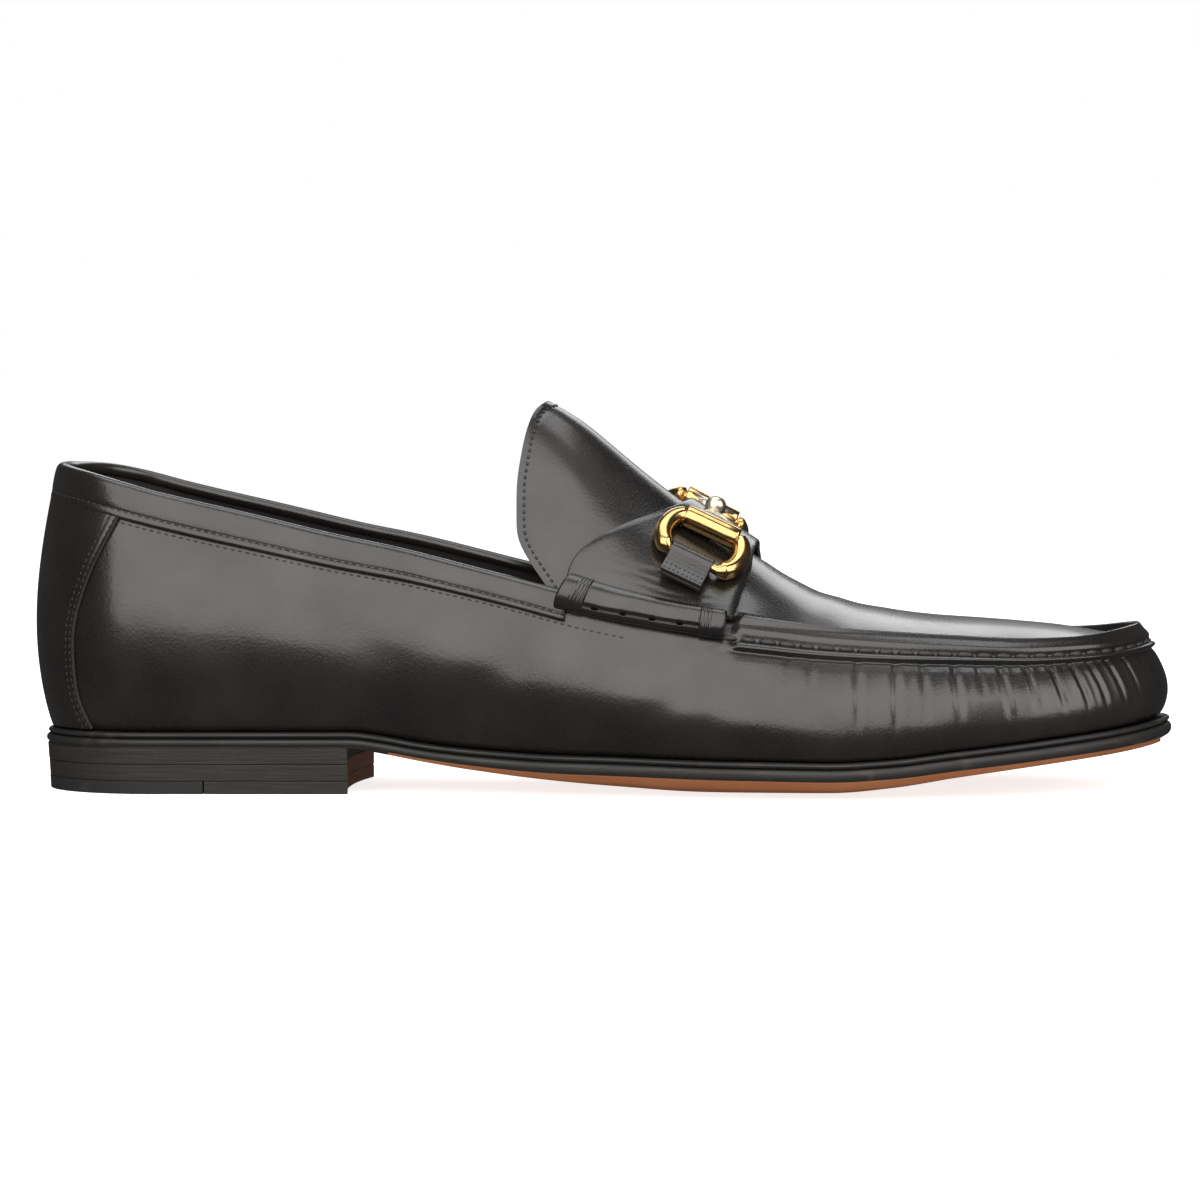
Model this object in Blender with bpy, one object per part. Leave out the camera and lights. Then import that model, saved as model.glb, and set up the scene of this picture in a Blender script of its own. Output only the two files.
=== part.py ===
# Bit loafer for the right foot, standing empty on its sole.
# Metres. +X runs to the toe, +Y to the inner side of the foot, +Z up.
# The origin lies on the floor under the middle of the heel block.
import math

import bmesh
import bpy
from mathutils import Vector

# Overall sizes
sole_length = 0.300
ball_width = 0.103
waist_width = 0.061
heel_width = 0.066
heel_length = 0.0845
heel_round = 0.033
toe_round = 0.052
toe_spring = 0.0123
heel_seat_height = 0.0122
gap = 0.0003

# Sole and heel
outsole_edge = 0.0034
sole_bevel = 0.0022
sole_crown = 0.0026
bevel_reach = 0.0045
edge_round = 0.0006
midsole_thickness = 0.0014
midsole_inset = 0.0008
top_layer_thickness = 0.0034
rubber_share = 0.546
breast_hollow = 0.0025
heel_taper = 0.0007
seat_relief = 0.00008
insole_thickness = 0.0025

# Upper, all in one leather
leather = 0.0020
feather_margin = 0.0030
collar_height = 0.0870
seam_height = 0.0385
instep_height = 0.0760
medial_rise = 0.0020
wall_lean = 0.0130
wall_bulge = 0.0065

# Raised seam around the apron
lip_depth = 0.0012
roll_height = 0.0024
roll_half = 0.0017
seam_start = 0.612
seam_full = 0.624
collar_end = 0.462
collar_blend = 0.08
apron_station = 0.578
apron_least_half = 0.012

# Pieces laid over the upper
tongue_tuck = 0.0032
tongue_drop = 0.0040
band_width = 0.0090
band_narrowing = 0.20
band_narrows_from = 0.15
band_thickness = 0.0010
counter_thickness = 0.0009
strap_thickness = 0.0019
strap_bed = 0.0007
strap_reach = 0.915
side_roll_start = 0.469
side_roll_end = 0.608
side_roll_height = 0.0100
side_roll_taper = 0.50
side_roll_thickness = 0.0040
binding_step = 0.0005
binding_length = 0.0045
binding_slope = 0.0006

# Bit: two rings with barrels, a cross bar with a ball, two leather keepers
ring_straight = 0.0128
ring_reach = 0.0042
ring_half = 0.0072
ring_tube = 0.0046
ring_bar = 0.0025
barrel_length = 0.0150
barrel_tube = 0.0057
ring_stations = (0.5800, 0.5715)
ring_across = (-0.62, 0.55)
ball_station = 0.584
ball_across = -0.20
arm_thickness = 0.0020
arm_width = 0.0130
arm_crest = 0.55
arm_clearance = 0.0005
ball_size = 0.0056
keeper_width = 0.0115
keeper_shift = 0.0006
keeper_thickness = 0.0010
keeper_tail = 0.0055
fold_start = math.radians(40)

# How finely the pieces are cut
columns = 80
half_columns = columns // 2


breast_station = heel_length / sole_length
heel_back = -heel_length / 2


def table(names, *rows):
    keys = names.split()
    return [dict(zip(keys, row)) for row in rows]


def curve(rows, name):
    # Smooth curve through one column that never overshoots its rows
    at = [row["at"] for row in rows]
    to = [row[name] for row in rows]
    slope = [(to[i + 1] - to[i]) / (at[i + 1] - at[i]) for i in range(len(at) - 1)]
    bend = [slope[0]]
    for before, after in zip(slope, slope[1:]):
        if before * after <= 0:
            bend.append(0.0)
        else:
            bend.append(2 * before * after / (before + after))
    bend.append(slope[-1])

    def value(x):
        x = min(max(x, at[0]), at[-1])
        i = 0
        while i < len(slope) - 1 and x > at[i + 1]:
            i += 1
        width = at[i + 1] - at[i]
        u = (x - at[i]) / width
        low = to[i] * (1 + 2 * u) * (1 - u) ** 2 + bend[i] * width * u * (1 - u) ** 2
        high = to[i + 1] * u * u * (3 - 2 * u) + bend[i + 1] * width * u * u * (u - 1)
        return low + high

    return value


def fade(x, start, end):
    u = min(max((x - start) / (end - start), 0.0), 1.0)
    return u * u * (3 - 2 * u)


# Plan of the sole: "at" is the share of the sole's length from the heel's back,
# "centre" the middle line as a share of the ball width,
# and the last three columns add up to the half width before the ends are rounded.
plan = table(
    "at centre heel waist ball",
    (0.000, 0.000, 0.500, 0.000, 0.000),
    (0.120, 0.000, 0.496, 0.000, 0.000),
    (0.200, -0.004, 0.486, 0.000, 0.000),
    (0.267, -0.009, 0.476, 0.000, 0.000),
    (0.360, -0.029, 0.000, 0.500, 0.000),
    (0.450, -0.048, 0.000, 0.000, 0.322),
    (0.550, -0.046, 0.000, 0.000, 0.392),
    (0.630, -0.033, 0.000, 0.000, 0.462),
    (0.700, -0.017, 0.000, 0.000, 0.500),
    (0.780, -0.004, 0.000, 0.000, 0.494),
    (0.860, 0.008, 0.000, 0.000, 0.464),
    (1.000, 0.026, 0.000, 0.000, 0.420),
)

# Side of the sole: height of the underside's middle line as shares of the heel seat's
# height and of the toe spring, then shares of the crown, the bevel and the edge.
side = table(
    "at seat spring crown bevel edge",
    (0.000, 1.000, 0.000, 0.000, 0.000, 0.700),
    (breast_station, 1.000, 0.000, 0.000, 0.000, 0.700),
    (breast_station + 0.018, 0.920, 0.000, 0.050, 0.150, 0.720),
    (breast_station + 0.068, 0.640, 0.000, 0.250, 0.300, 0.740),
    (breast_station + 0.108, 0.460, 0.000, 0.350, 0.450, 0.820),
    (breast_station + 0.158, 0.290, 0.000, 0.500, 0.600, 0.920),
    (0.520, 0.110, 0.000, 0.850, 0.850, 1.000),
    (0.585, 0.010, 0.000, 1.000, 1.000, 1.000),
    (0.620, 0.000, 0.000, 1.000, 1.000, 1.000),
    (0.705, 0.000, 0.000, 0.900, 1.000, 1.000),
    (0.760, 0.000, 0.120, 0.750, 0.850, 1.000),
    (0.813, 0.000, 0.340, 0.550, 0.700, 1.000),
    (0.887, 0.000, 0.600, 0.350, 0.550, 1.000),
    (0.975, 0.000, 0.880, 0.200, 0.500, 1.000),
    (1.000, 0.000, 1.000, 0.150, 0.500, 1.000),
)

# Top line of the upper's wall: height as shares of the collar's and the seam's heights,
# extra rise of the inner side, and how far it leans in from the sole's outline.
# The collar's share counts up to the side rolls and the seam's share in front of them.
top_line = table(
    "at collar seam rise lateral medial",
    (0.000, 0.990, 1.430, 0.000, 0.360, 0.360),
    (0.040, 0.966, 1.430, 0.500, 0.360, 0.360),
    (0.088, 0.929, 1.430, 0.600, 0.360, 0.360),
    (0.136, 0.889, 1.430, 0.600, 0.350, 0.340),
    (0.200, 0.838, 1.430, 0.600, 0.320, 0.290),
    (0.275, 0.776, 1.430, 0.600, 0.280, 0.170),
    (0.325, 0.740, 1.430, 0.600, 0.240, 0.000),
    (0.387, 0.686, 1.430, 0.600, 0.230, -0.160),
    (0.448, 0.632, 1.430, 0.700, 0.240, -0.230),
    (0.475, 0.608, 1.373, 0.800, 0.300, -0.160),
    (0.530, 0.567, 1.280, 0.500, 0.460, 0.060),
    (0.587, 0.531, 1.200, 0.300, 0.700, 0.360),
    (0.630, 0.531, 1.150, 0.100, 0.900, 0.620),
    (0.720, 0.531, 1.080, 0.000, 1.020, 0.960),
    (0.813, 0.531, 1.032, 0.000, 1.000, 1.000),
    (0.900, 0.531, 1.000, 0.000, 0.850, 0.850),
    (0.965, 0.531, 1.012, 0.000, 0.660, 0.660),
    (1.000, 0.531, 1.052, 0.000, 0.580, 0.580),
)

# How far the wall swells beyond the straight line from sole to top line
swell = table(
    "at lateral medial",
    (0.00, 0.76, 0.76),
    (0.04, 0.84, 0.84),
    (0.10, 0.94, 0.94),
    (0.25, 0.98, 1.00),
    (0.40, 1.02, 1.22),
    (0.55, 0.98, 1.10),
    (0.70, 0.86, 0.90),
    (0.85, 0.76, 0.76),
    (1.00, 0.58, 0.58),
)

# Ridge of the instep and apron: height as a share of the instep height,
# and the power that rounds the section across it.
ridge = table(
    "at height power",
    (0.420, 1.430, 2.05),
    (0.448, 1.356, 2.05),
    (0.480, 1.280, 2.00),
    (0.509, 1.183, 1.95),
    (0.545, 1.060, 1.90),
    (0.570, 0.979, 1.88),
    (0.600, 0.895, 1.88),
    (0.633, 0.811, 1.90),
    (0.652, 0.762, 1.95),
    (0.670, 0.716, 2.00),
    (0.687, 0.685, 2.00),
    (0.723, 0.641, 2.10),
    (0.758, 0.614, 2.20),
    (0.793, 0.597, 2.30),
    (0.830, 0.587, 2.30),
    (0.900, 0.563, 2.20),
    (0.967, 0.524, 2.00),
    (1.000, 0.528, 2.00),
)

# Free edge of the tongue and both edges of the strap,
# as stations for each share of the half width from the ridge.
tongue_edge = table(
    "at station",
    (0.00, 0.4530),
    (0.12, 0.4490),
    (0.34, 0.4385),
    (0.57, 0.4303),
    (0.72, 0.4268),
    (0.85, 0.4275),
    (0.91, 0.4385),
    (0.96, 0.4545),
    (1.00, 0.4630),
)
strap_edges = table(
    "at back front",
    (0.00, 0.569, 0.6262),
    (0.17, 0.565, 0.6256),
    (0.37, 0.555, 0.6245),
    (0.53, 0.540, 0.625),
    (0.70, 0.515, 0.621),
    (0.81, 0.494, 0.618),
    (0.92, 0.476, 0.614),
)

# Front edge of the counter as a station for each share of the wall's height
counter_edge = table(
    "at station",
    (0.00, 0.050),
    (0.15, 0.042),
    (0.40, 0.043),
    (0.70, 0.056),
    (1.00, 0.079),
)

# Width of the cross bar's arms from a barrel (0) to the ball (1)
arm = table(
    "at width",
    (0.00, 1.00),
    (0.15, 0.82),
    (0.35, 0.56),
    (0.60, 0.38),
    (0.80, 0.30),
    (1.00, 0.30),
)

centre_line = curve(plan, "centre")
plan_heel = curve(plan, "heel")
plan_waist = curve(plan, "waist")
plan_ball = curve(plan, "ball")
side_seat = curve(side, "seat")
side_spring = curve(side, "spring")
side_crown = curve(side, "crown")
side_bevel = curve(side, "bevel")
side_edge = curve(side, "edge")
top_collar = curve(top_line, "collar")
top_seam = curve(top_line, "seam")
top_rise = curve(top_line, "rise")
lean = (curve(top_line, "lateral"), curve(top_line, "medial"))
swelling = (curve(swell, "lateral"), curve(swell, "medial"))
ridge_share = curve(ridge, "height")
ridge_power = curve(ridge, "power")
tongue_back = curve(tongue_edge, "station")
strap_back = curve(strap_edges, "back")
strap_front = curve(strap_edges, "front")
counter_front = curve(counter_edge, "station")
arm_flare = curve(arm, "width")

# A turn runs once round the shoe: 0 at the heel's back, 0.5 at the toe, outer side first
turns = [j / columns for j in range(columns)]


def station_of(turn):
    return 0.5 * (1 - math.cos(2 * math.pi * turn))


def turn_of(station):
    return math.acos(1 - 2 * station) / (2 * math.pi)


def sole_outline(turn):
    s = station_of(turn)
    half = heel_width * plan_heel(s) + waist_width * plan_waist(s) + ball_width * plan_ball(s)
    back = 1 - min(s * sole_length / heel_round, 1)
    front = 1 - min((1 - s) * sole_length / toe_round, 1)
    half *= math.sqrt(max(1 - back * back, 0)) * math.sqrt(max(1 - front * front, 0))
    sign = -1 if turn % 1 < 0.5 else 1
    middle = ball_width * centre_line(s) * fade(s, 0, 0.1)
    return Vector((heel_back + s * sole_length, middle + sign * half, 0))


def inward(turn):
    step = 0.0005
    along = sole_outline(turn + step) - sole_outline(turn - step)
    return Vector((-along.y, along.x, 0)).normalized()


def outline(turn, inset):
    return sole_outline(turn) + inward(turn) * inset


def underside(s):
    return heel_seat_height * side_seat(s) + toe_spring * side_spring(s)


def sole_top(s):
    rise = sole_crown * side_crown(s) + sole_bevel * side_bevel(s) + outsole_edge * side_edge(s)
    return underside(s) + rise


def feather_height(s):
    return sole_top(s) + midsole_thickness + 2 * gap


def side_of(turn):
    return 0 if turn % 1 < 0.5 else 1


def top_edge(turn):
    s = station_of(turn)
    inset = wall_lean * lean[side_of(turn)](s)
    point = outline(turn, inset)
    front = fade(s, collar_end, collar_end + collar_blend)
    point.z = collar_height * top_collar(s) * (1 - front) + seam_height * top_seam(s) * front
    point.z += medial_rise * top_rise(s) * side_of(turn)
    return point


def wall(turn, v):
    # Outer face of the upper's wall: v is 0 at the sole and 1 at the top line
    s = station_of(turn)
    foot = outline(turn, feather_margin)
    foot.z = feather_height(s)
    bulge = wall_bulge * swelling[side_of(turn)](s) * math.sin(math.pi * v ** 0.82)
    return foot.lerp(top_edge(turn), v) - inward(turn) * bulge


def wall_normal(turn, v):
    along = wall(turn + 0.001, v) - wall(turn - 0.001, v)
    up = wall(turn, min(v + 0.02, 1)) - wall(turn, max(v - 0.02, 0))
    return along.cross(up).normalized()


def instep(s, w, tuck=0.0, drop=0.0):
    # Outer face of apron, strap bed and tongue: w runs from -1 outside to 1 inside
    turn = turn_of(s)
    left = top_edge(turn)
    right = top_edge(1 - turn)
    middle = (left + right) / 2
    half = (right - left) / 2
    top = instep_height * ridge_share(s)
    base = middle.z - drop
    height = base + (top - base) * (1 - abs(w) ** ridge_power(s))
    shrink = 1 - tuck / half.length
    point = middle + half * (w * shrink)
    point.z = height + half.z * w
    return point


def instep_frame(s, w):
    # Point on the instep with the directions along, across and out of it
    along = (instep(s + 0.004, w) - instep(s - 0.004, w)).normalized()
    across = (instep(s, w + 0.02) - instep(s, w - 0.02)).normalized()
    out = along.cross(across).normalized()
    if w < 0:
        across = -across
    return instep(s, w), along, across, out


def make(name, points, faces, finish, smooth=40):
    mesh = bpy.data.meshes.new(name)
    mesh.from_pydata([tuple(p) for p in points], [], faces)
    shape = bmesh.new()
    shape.from_mesh(mesh)
    bmesh.ops.recalc_face_normals(shape, faces=shape.faces)
    shape.to_mesh(mesh)
    shape.free()
    mesh.shade_smooth()
    mesh.set_sharp_from_angle(angle=math.radians(smooth))
    thing = bpy.data.objects.new(name, mesh)
    bpy.context.collection.objects.link(thing)
    color, roughness, metallic = finish
    material = bpy.data.materials.new(name + "_finish")
    material.use_nodes = True
    shader = material.node_tree.nodes["Principled BSDF"]
    shader.inputs["Base Color"].default_value = (*color, 1)
    shader.inputs["Roughness"].default_value = roughness
    shader.inputs["Metallic"].default_value = metallic
    mesh.materials.append(material)
    return thing


calf_finish = ((0.012, 0.011, 0.011), 0.28, 0.0)
edge_finish = ((0.015, 0.014, 0.014), 0.45, 0.0)
tan_finish = ((0.36, 0.15, 0.06), 0.5, 0.0)
rubber_finish = ((0.010, 0.010, 0.010), 0.6, 0.0)
lining_finish = ((0.020, 0.018, 0.017), 0.6, 0.0)
gold_finish = ((0.80, 0.58, 0.26), 0.16, 1.0)


def shell(outer, inner, faces):
    # Two matching skins closed along every open edge
    count = len(outer)
    open_edges = {}
    for face in faces:
        for a, b in zip(face, face[1:] + face[:1]):
            if (b, a) in open_edges:
                del open_edges[(b, a)]
            else:
                open_edges[(a, b)] = True
    back = [tuple(i + count for i in reversed(face)) for face in faces]
    rim = [(b, a, a + count, b + count) for a, b in open_edges]
    return outer + inner, faces + back + rim


def grid_faces(rows, row_length, start=0):
    faces = []
    for r in range(rows - 1):
        for c in range(row_length - 1):
            a = start + r * row_length + c
            faces.append((a, a + 1, a + 1 + row_length, a + row_length))
    return faces


def sheet(name, grid, finish, low, high):
    # A sheet laid on a surface: grid holds rows of (point, out) pairs
    flat = [pair for row in grid for pair in row]
    outer = [point + out * high for point, out in flat]
    inner = [point + out * low for point, out in flat]
    points, faces = shell(outer, inner, grid_faces(len(grid), len(grid[0])))
    return make(name, points, faces, finish)


def span(points, faces, ring, across, height, first=0, flip=False):
    # Rows of points from the outer to the inner side of a ring of indices
    rows = []
    for j in range(first, half_columns):
        left = ring[j]
        right = ring[-j]
        if j == 0:
            rows.append([left])
            continue
        row = [left]
        for k in range(1, across):
            w = 2 * k / across - 1
            point = points[left].lerp(points[right], k / across)
            point.z = height(point, w)
            points.append(point)
            row.append(len(points) - 1)
        row.append(right)
        rows.append(row)
    rows.append([ring[half_columns]])
    for near, far in zip(rows, rows[1:]):
        for k in range(across):
            if len(near) == 1:
                face = (near[0], far[k], far[k + 1])
            elif len(far) == 1:
                face = (near[k], far[0], near[k + 1])
            else:
                face = (near[k], far[k], far[k + 1], near[k + 1])
            faces.append(tuple(reversed(face)) if flip else face)


def ring_walls(faces, low, high):
    for j in range(len(low)):
        k = (j + 1) % len(low)
        faces.append((low[j], low[k], high[k], high[j]))


def add_ring(points, new_points):
    points.extend(new_points)
    return list(range(len(points) - len(new_points), len(points)))


def station_at(point):
    return min(max((point.x - heel_back) / sole_length, 0), 1)


def plate(name, insets, heights, across, finish, crown=0.0):
    # A plate with the sole's outline: one inset and one height function per ring
    points = []
    faces = []
    rings = []
    for inset, height in zip(insets, heights):
        ring = []
        for turn in turns:
            s = station_of(turn)
            point = outline(turn, inset(s) if callable(inset) else inset)
            point.z = height(s)
            ring.append(point)
        rings.append(add_ring(points, ring))
    for low, high in zip(rings, rings[1:]):
        ring_walls(faces, low, high)

    def bottom(point, w):
        s = station_at(point)
        fall = 1 - (max(abs(w) - 0.36, 0) / 0.64) ** 2
        return heights[0](s) - crown * side_crown(s) * fall

    span(points, faces, rings[0], across, bottom, flip=True)
    span(points, faces, rings[-1], across, lambda point, w: heights[-1](station_at(point)))
    return make(name, points, faces, finish)


def build_outsole():
    def reach(s):
        return edge_round + bevel_reach * side_bevel(s)

    def bevel_foot(s):
        return underside(s) + sole_crown * side_crown(s)

    def edge_foot(s):
        return bevel_foot(s) + sole_bevel * side_bevel(s) + outsole_edge * 0.08

    def edge_low(s):
        return sole_top(s) - outsole_edge * side_edge(s) * 0.74

    def edge_high(s):
        return sole_top(s) - outsole_edge * side_edge(s) * 0.24

    insets = (reach, edge_round, 0.0, 0.0, edge_round)
    heights = (bevel_foot, edge_foot, edge_low, edge_high, sole_top)
    return plate("outsole", insets, heights, 8, tan_finish, sole_crown)


def build_midsole():
    def low(s):
        return sole_top(s) + gap

    def high(s):
        return low(s) + midsole_thickness

    return plate("midsole", (midsole_inset, midsole_inset), (low, high), 2, edge_finish)


def build_insole():
    def low(s):
        return feather_height(s) + gap

    def high(s):
        return low(s) + insole_thickness

    inset = feather_margin + leather + 2 * gap
    return plate("insole", (inset, inset - gap), (low, high), 4, lining_finish)


def heel_outline(inset, start, end):
    # Loop round the heel between two stations; the end at the breast is hollowed
    steps = 14
    first = turn_of(start)
    last = turn_of(end)
    turns_down = [last + (first - last) * i / steps for i in range(steps + 1)]
    loop = [outline(turn, inset) for turn in turns_down]
    others = [outline(1 - turn, inset) for turn in reversed(turns_down)]
    if start == 0:
        others = others[1:]
    loop += others
    if end < breast_station:
        return loop
    right = loop[-1]
    left = loop[0]
    for i in range(1, 8):
        point = right.lerp(left, i / 8)
        point.x -= breast_hollow * (1 - (i / 4 - 1) ** 2)
        loop.append(point)
    return loop


def heel_layer(name, low, high, start, end, finish):
    def inset(z):
        return gap + heel_taper * (1 - z / heel_seat_height)

    bottom = heel_outline(inset(low), start, end)
    top = heel_outline(inset(high), start, end)
    count = len(bottom)
    points = [Vector((p.x, p.y, low)) for p in bottom] + [Vector((p.x, p.y, high)) for p in top]
    faces = [tuple(reversed(range(count))), tuple(range(count, 2 * count))]
    for j in range(count):
        k = (j + 1) % count
        faces.append((j, k, count + k, count + j))
    return make(name, points, faces, finish, 30)


def build_heel():
    rubber_end = breast_station * rubber_share
    leather_start = rubber_end + gap / sole_length
    lift_start = top_layer_thickness + gap
    lift = (heel_seat_height - lift_start - 2 * gap) / 2
    middle = lift_start + lift
    heel_layer("heel_top_rubber", 0, top_layer_thickness, 0, rubber_end, rubber_finish)
    heel_layer("heel_top_leather", 0, top_layer_thickness, leather_start, breast_station, edge_finish)
    heel_layer("heel_lift_lower", lift_start, middle, 0, breast_station, edge_finish)
    heel_layer("heel_lift_upper", middle + gap, heel_seat_height - gap - seat_relief, 0, breast_station, edge_finish)


def point_normals(points, faces):
    sums = [Vector() for _ in points]
    for face in faces:
        corners = [points[i] for i in face]
        normal = (corners[2] - corners[0]).cross(corners[-1] - corners[1])
        for i in face:
            sums[i] += normal
    return [total.normalized() for total in sums]


def apron_half(turn):
    return max((top_edge(turn) - top_edge(1 - turn)).length / 2, apron_least_half)


def build_upper():
    # Wall rows with how far each is raised along the seam, as a share of the lip's depth
    rows = table(
        "v raised",
        (0.00, 0.0),
        (0.08, 0.0),
        (0.18, 0.0),
        (0.30, 0.0),
        (0.43, 0.0),
        (0.56, 0.0),
        (0.69, 0.0),
        (0.80, 0.0),
        (0.83, 1.0),
        (0.92, 0.3),
        (1.00, 0.8),
    )
    points = []
    faces = []
    raised = {}
    rings = []
    for row in rows:
        ring = add_ring(points, [wall(turn, row["v"]) for turn in turns])
        for index, turn in zip(ring, turns):
            raised[index] = lip_depth * row["raised"] * fade(station_of(turn), seam_start, seam_full)
        if rings:
            ring_walls(faces, rings[-1], ring)
        rings.append(ring)

    # The apron starts under the strap, with two rows that carry the seam's rolled ridge
    first = round(turn_of(apron_station) * columns)
    front = range(first, columns - first + 1)
    top = rings[-1]
    for inset, lift in ((roll_half, 1.0), (2 * roll_half, 0.12)):
        ring = [None] * columns
        for j in front:
            s = station_of(turns[j])
            half = apron_half(turns[j])
            point = top_edge(turns[j]) + inward(turns[j]) * inset
            crown = instep_height * ridge_share(s) - point.z
            point.z += max(crown, 0) * (1 - (1 - inset / half) ** ridge_power(s))
            points.append(point)
            ring[j] = len(points) - 1
            raised[ring[j]] = roll_height * lift * fade(s, seam_start, seam_full)
        for j in front[:-1]:
            faces.append((top[j], top[j + 1], ring[j + 1], ring[j]))
        top = ring

    def apron(point, w):
        s = station_at(point)
        if s >= station_of(turns[half_columns - 1]):
            return instep_height * ridge_share(s)
        edge = 1 - 2 * roll_half / apron_half(turn_of(s))
        return instep(s, w * edge).z

    span(points, faces, top, 10, apron, first)
    normals = point_normals(points, faces)
    inner = []
    for index, (point, normal) in enumerate(zip(points, normals)):
        if index in rings[0]:
            inner.append(point + inward(turns[index]) * leather)
        else:
            inner.append(point - normal * leather)
    outer = [point + normals[i] * raised.get(i, 0) for i, point in enumerate(points)]
    points, faces = shell(outer, inner, faces)
    return make("upper", points, faces, calf_finish, 50)


def build_tongue():
    first = round(turn_of(apron_station) * columns)
    start = station_of(first / columns) - gap / sole_length
    across = 18
    along = 6
    grid = []
    for i in range(along + 1):
        row = []
        for k in range(across + 1):
            w = 2 * k / across - 1
            w = math.copysign(1 - (1 - abs(w)) ** 1.25, w)
            s = start + (tongue_back(abs(w)) - start) * i / along
            here = instep(s, w, tongue_tuck, tongue_drop)
            forward = instep(s + 0.003, w, tongue_tuck, tongue_drop)
            inner_side = instep(s, min(w + 0.01, 1), tongue_tuck, tongue_drop)
            outer_side = instep(s, max(w - 0.01, -1), tongue_tuck, tongue_drop)
            out = (forward - here).cross(inner_side - outer_side).normalized()
            row.append((here, out))
        grid.append(row)
    return sheet("tongue", grid, calf_finish, -leather, 0)


def build_band():
    steps = 56
    front = turn_of(collar_end)
    grid = []
    for i in range(steps + 1):
        turn = -front + 2 * front * i / steps
        height = (top_edge(turn) - wall(turn, 0)).length
        row = []
        width = band_width * (1 - band_narrowing * fade(station_of(turn), band_narrows_from, collar_end))
        for v in (1 - width / height, 1 - width / height / 2, 1.0):
            row.append((wall(turn, v), wall_normal(turn, v)))
        grid.append(row)
    return sheet("collar_band", grid, calf_finish, gap, gap + band_thickness)


def build_counter():
    up = 7
    around = 20
    grid = []
    for i in range(up + 1):
        row = []
        for k in range(around + 1):
            share = i / up
            front = turn_of(counter_front(share))
            turn = -front + 2 * front * k / around
            height = (top_edge(turn) - wall(turn, 0)).length
            v = 0.012 + (1 - (band_width + 2 * gap) / height - 0.012) * share
            row.append((wall(turn, v), wall_normal(turn, v)))
        grid.append(row)
    return sheet("heel_counter", grid, calf_finish, gap, gap + counter_thickness)


def build_strap():
    across = 20
    along = 5
    grid = []
    for i in range(along + 1):
        row = []
        for k in range(across + 1):
            w = strap_reach * (2 * k / across - 1)
            s = strap_back(abs(w)) + (strap_front(abs(w)) - strap_back(abs(w))) * i / along
            point, _, _, out = instep_frame(s, w)
            row.append((point, out))
        grid.append(row)
    return sheet("saddle_strap", grid, calf_finish, strap_bed, strap_bed + strap_thickness)


def sweep(centres, frames, sections, closed):
    # Skin over a row of flat sections: each section lists (a, b) offsets in its frame
    points = []
    faces = []
    rings = []
    for centre, (right, up), section in zip(centres, frames, sections):
        rings.append(add_ring(points, [centre + right * a + up * b for a, b in section]))
    pairs = list(zip(rings, rings[1:]))
    if closed:
        pairs.append((rings[-1], rings[0]))
    for near, far in pairs:
        for j in range(len(near)):
            k = (j + 1) % len(near)
            faces.append((near[j], near[k], far[k], far[j]))
    if not closed:
        faces.append(tuple(reversed(rings[0])))
        faces.append(tuple(rings[-1]))
    return points, faces


def build_side_roll(name, medial):
    # A stuffed roll along the top line, thicker where its two ends are bound
    length = (side_roll_end - side_roll_start) * sole_length
    marks = [0, binding_length, binding_length + binding_slope]
    inner_marks = [length * share for share in (0.25, 0.38, 0.5, 0.62, 0.75)]
    marks += inner_marks + [length - mark for mark in reversed(marks)]
    centres = []
    frames = []
    sections = []
    for mark in marks:
        turn = turn_of(side_roll_start + mark / sole_length)
        turn = 1 - turn if medial else turn
        top = top_edge(turn)
        up = (top - wall(turn, 0.86)).normalized()
        along = (wall(turn + 0.002, 1) - wall(turn - 0.002, 1)).normalized()
        out = along.cross(up).normalized()
        bound = mark <= binding_length or mark >= length - binding_length
        thick = side_roll_thickness + (binding_step if bound else 0)
        low = side_roll_height / 2
        tall = low * (1 - side_roll_taper * mark / length)
        section = []
        for i in range(9):
            angle = math.pi * i / 8
            height = (tall if i < 4 else low) * math.cos(angle)
            section.append((height, 3 * gap + thick * math.sin(angle) ** 0.8))
        centres.append(top)
        frames.append((up, out))
        sections.append(section)
    points, faces = sweep(centres, frames, sections, False)
    return make(name, points, faces, calf_finish, 50)


def ring_frame(medial):
    seat, along, _, out = instep_frame(ring_stations[medial], ring_across[medial])
    across = out.cross(along) * (1 if medial else -1)
    lift = strap_bed + strap_thickness + gap + keeper_thickness + gap + ring_bar / 2
    return seat + out * lift, along, across, out


def build_ring(name, medial):
    # Closed loop: a thick barrel on the side near the ridge, a thin bar on the far side
    centre, along, across, out = ring_frame(medial)
    half = ring_straight / 2
    path = []
    for share in (-1, -0.5, 0, 0.5, 1):
        path.append((barrel_length / 2 * share, -ring_half, barrel_tube / 2))
    for i in range(2, 8):
        angle = -math.pi / 2 + math.pi * i / 8
        path.append((half + ring_reach * math.cos(angle), ring_half * math.sin(angle), ring_tube / 2))
    for a in (half, half * 0.4, -half * 0.4, -half):
        path.append((a, ring_half, ring_bar / 2))
    for i in range(1, 7):
        angle = math.pi / 2 + math.pi * i / 8
        path.append((ring_reach * math.cos(angle) - half, ring_half * math.sin(angle), ring_tube / 2))
    centres = [centre + along * a + across * b for a, b, _ in path]
    frames = []
    sections = []
    for i, (_, _, radius) in enumerate(path):
        ahead = (centres[(i + 1) % len(centres)] - centres[i - 1]).normalized()
        frames.append((ahead.cross(out).normalized(), out))
        section = []
        for k in range(8):
            angle = 2 * math.pi * (k + 0.5) / 8
            section.append((radius * math.cos(angle), radius * math.sin(angle)))
        sections.append(section)
    points, faces = sweep(centres, frames, sections, True)
    return make(name, points, faces, gold_finish, 60)


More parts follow.
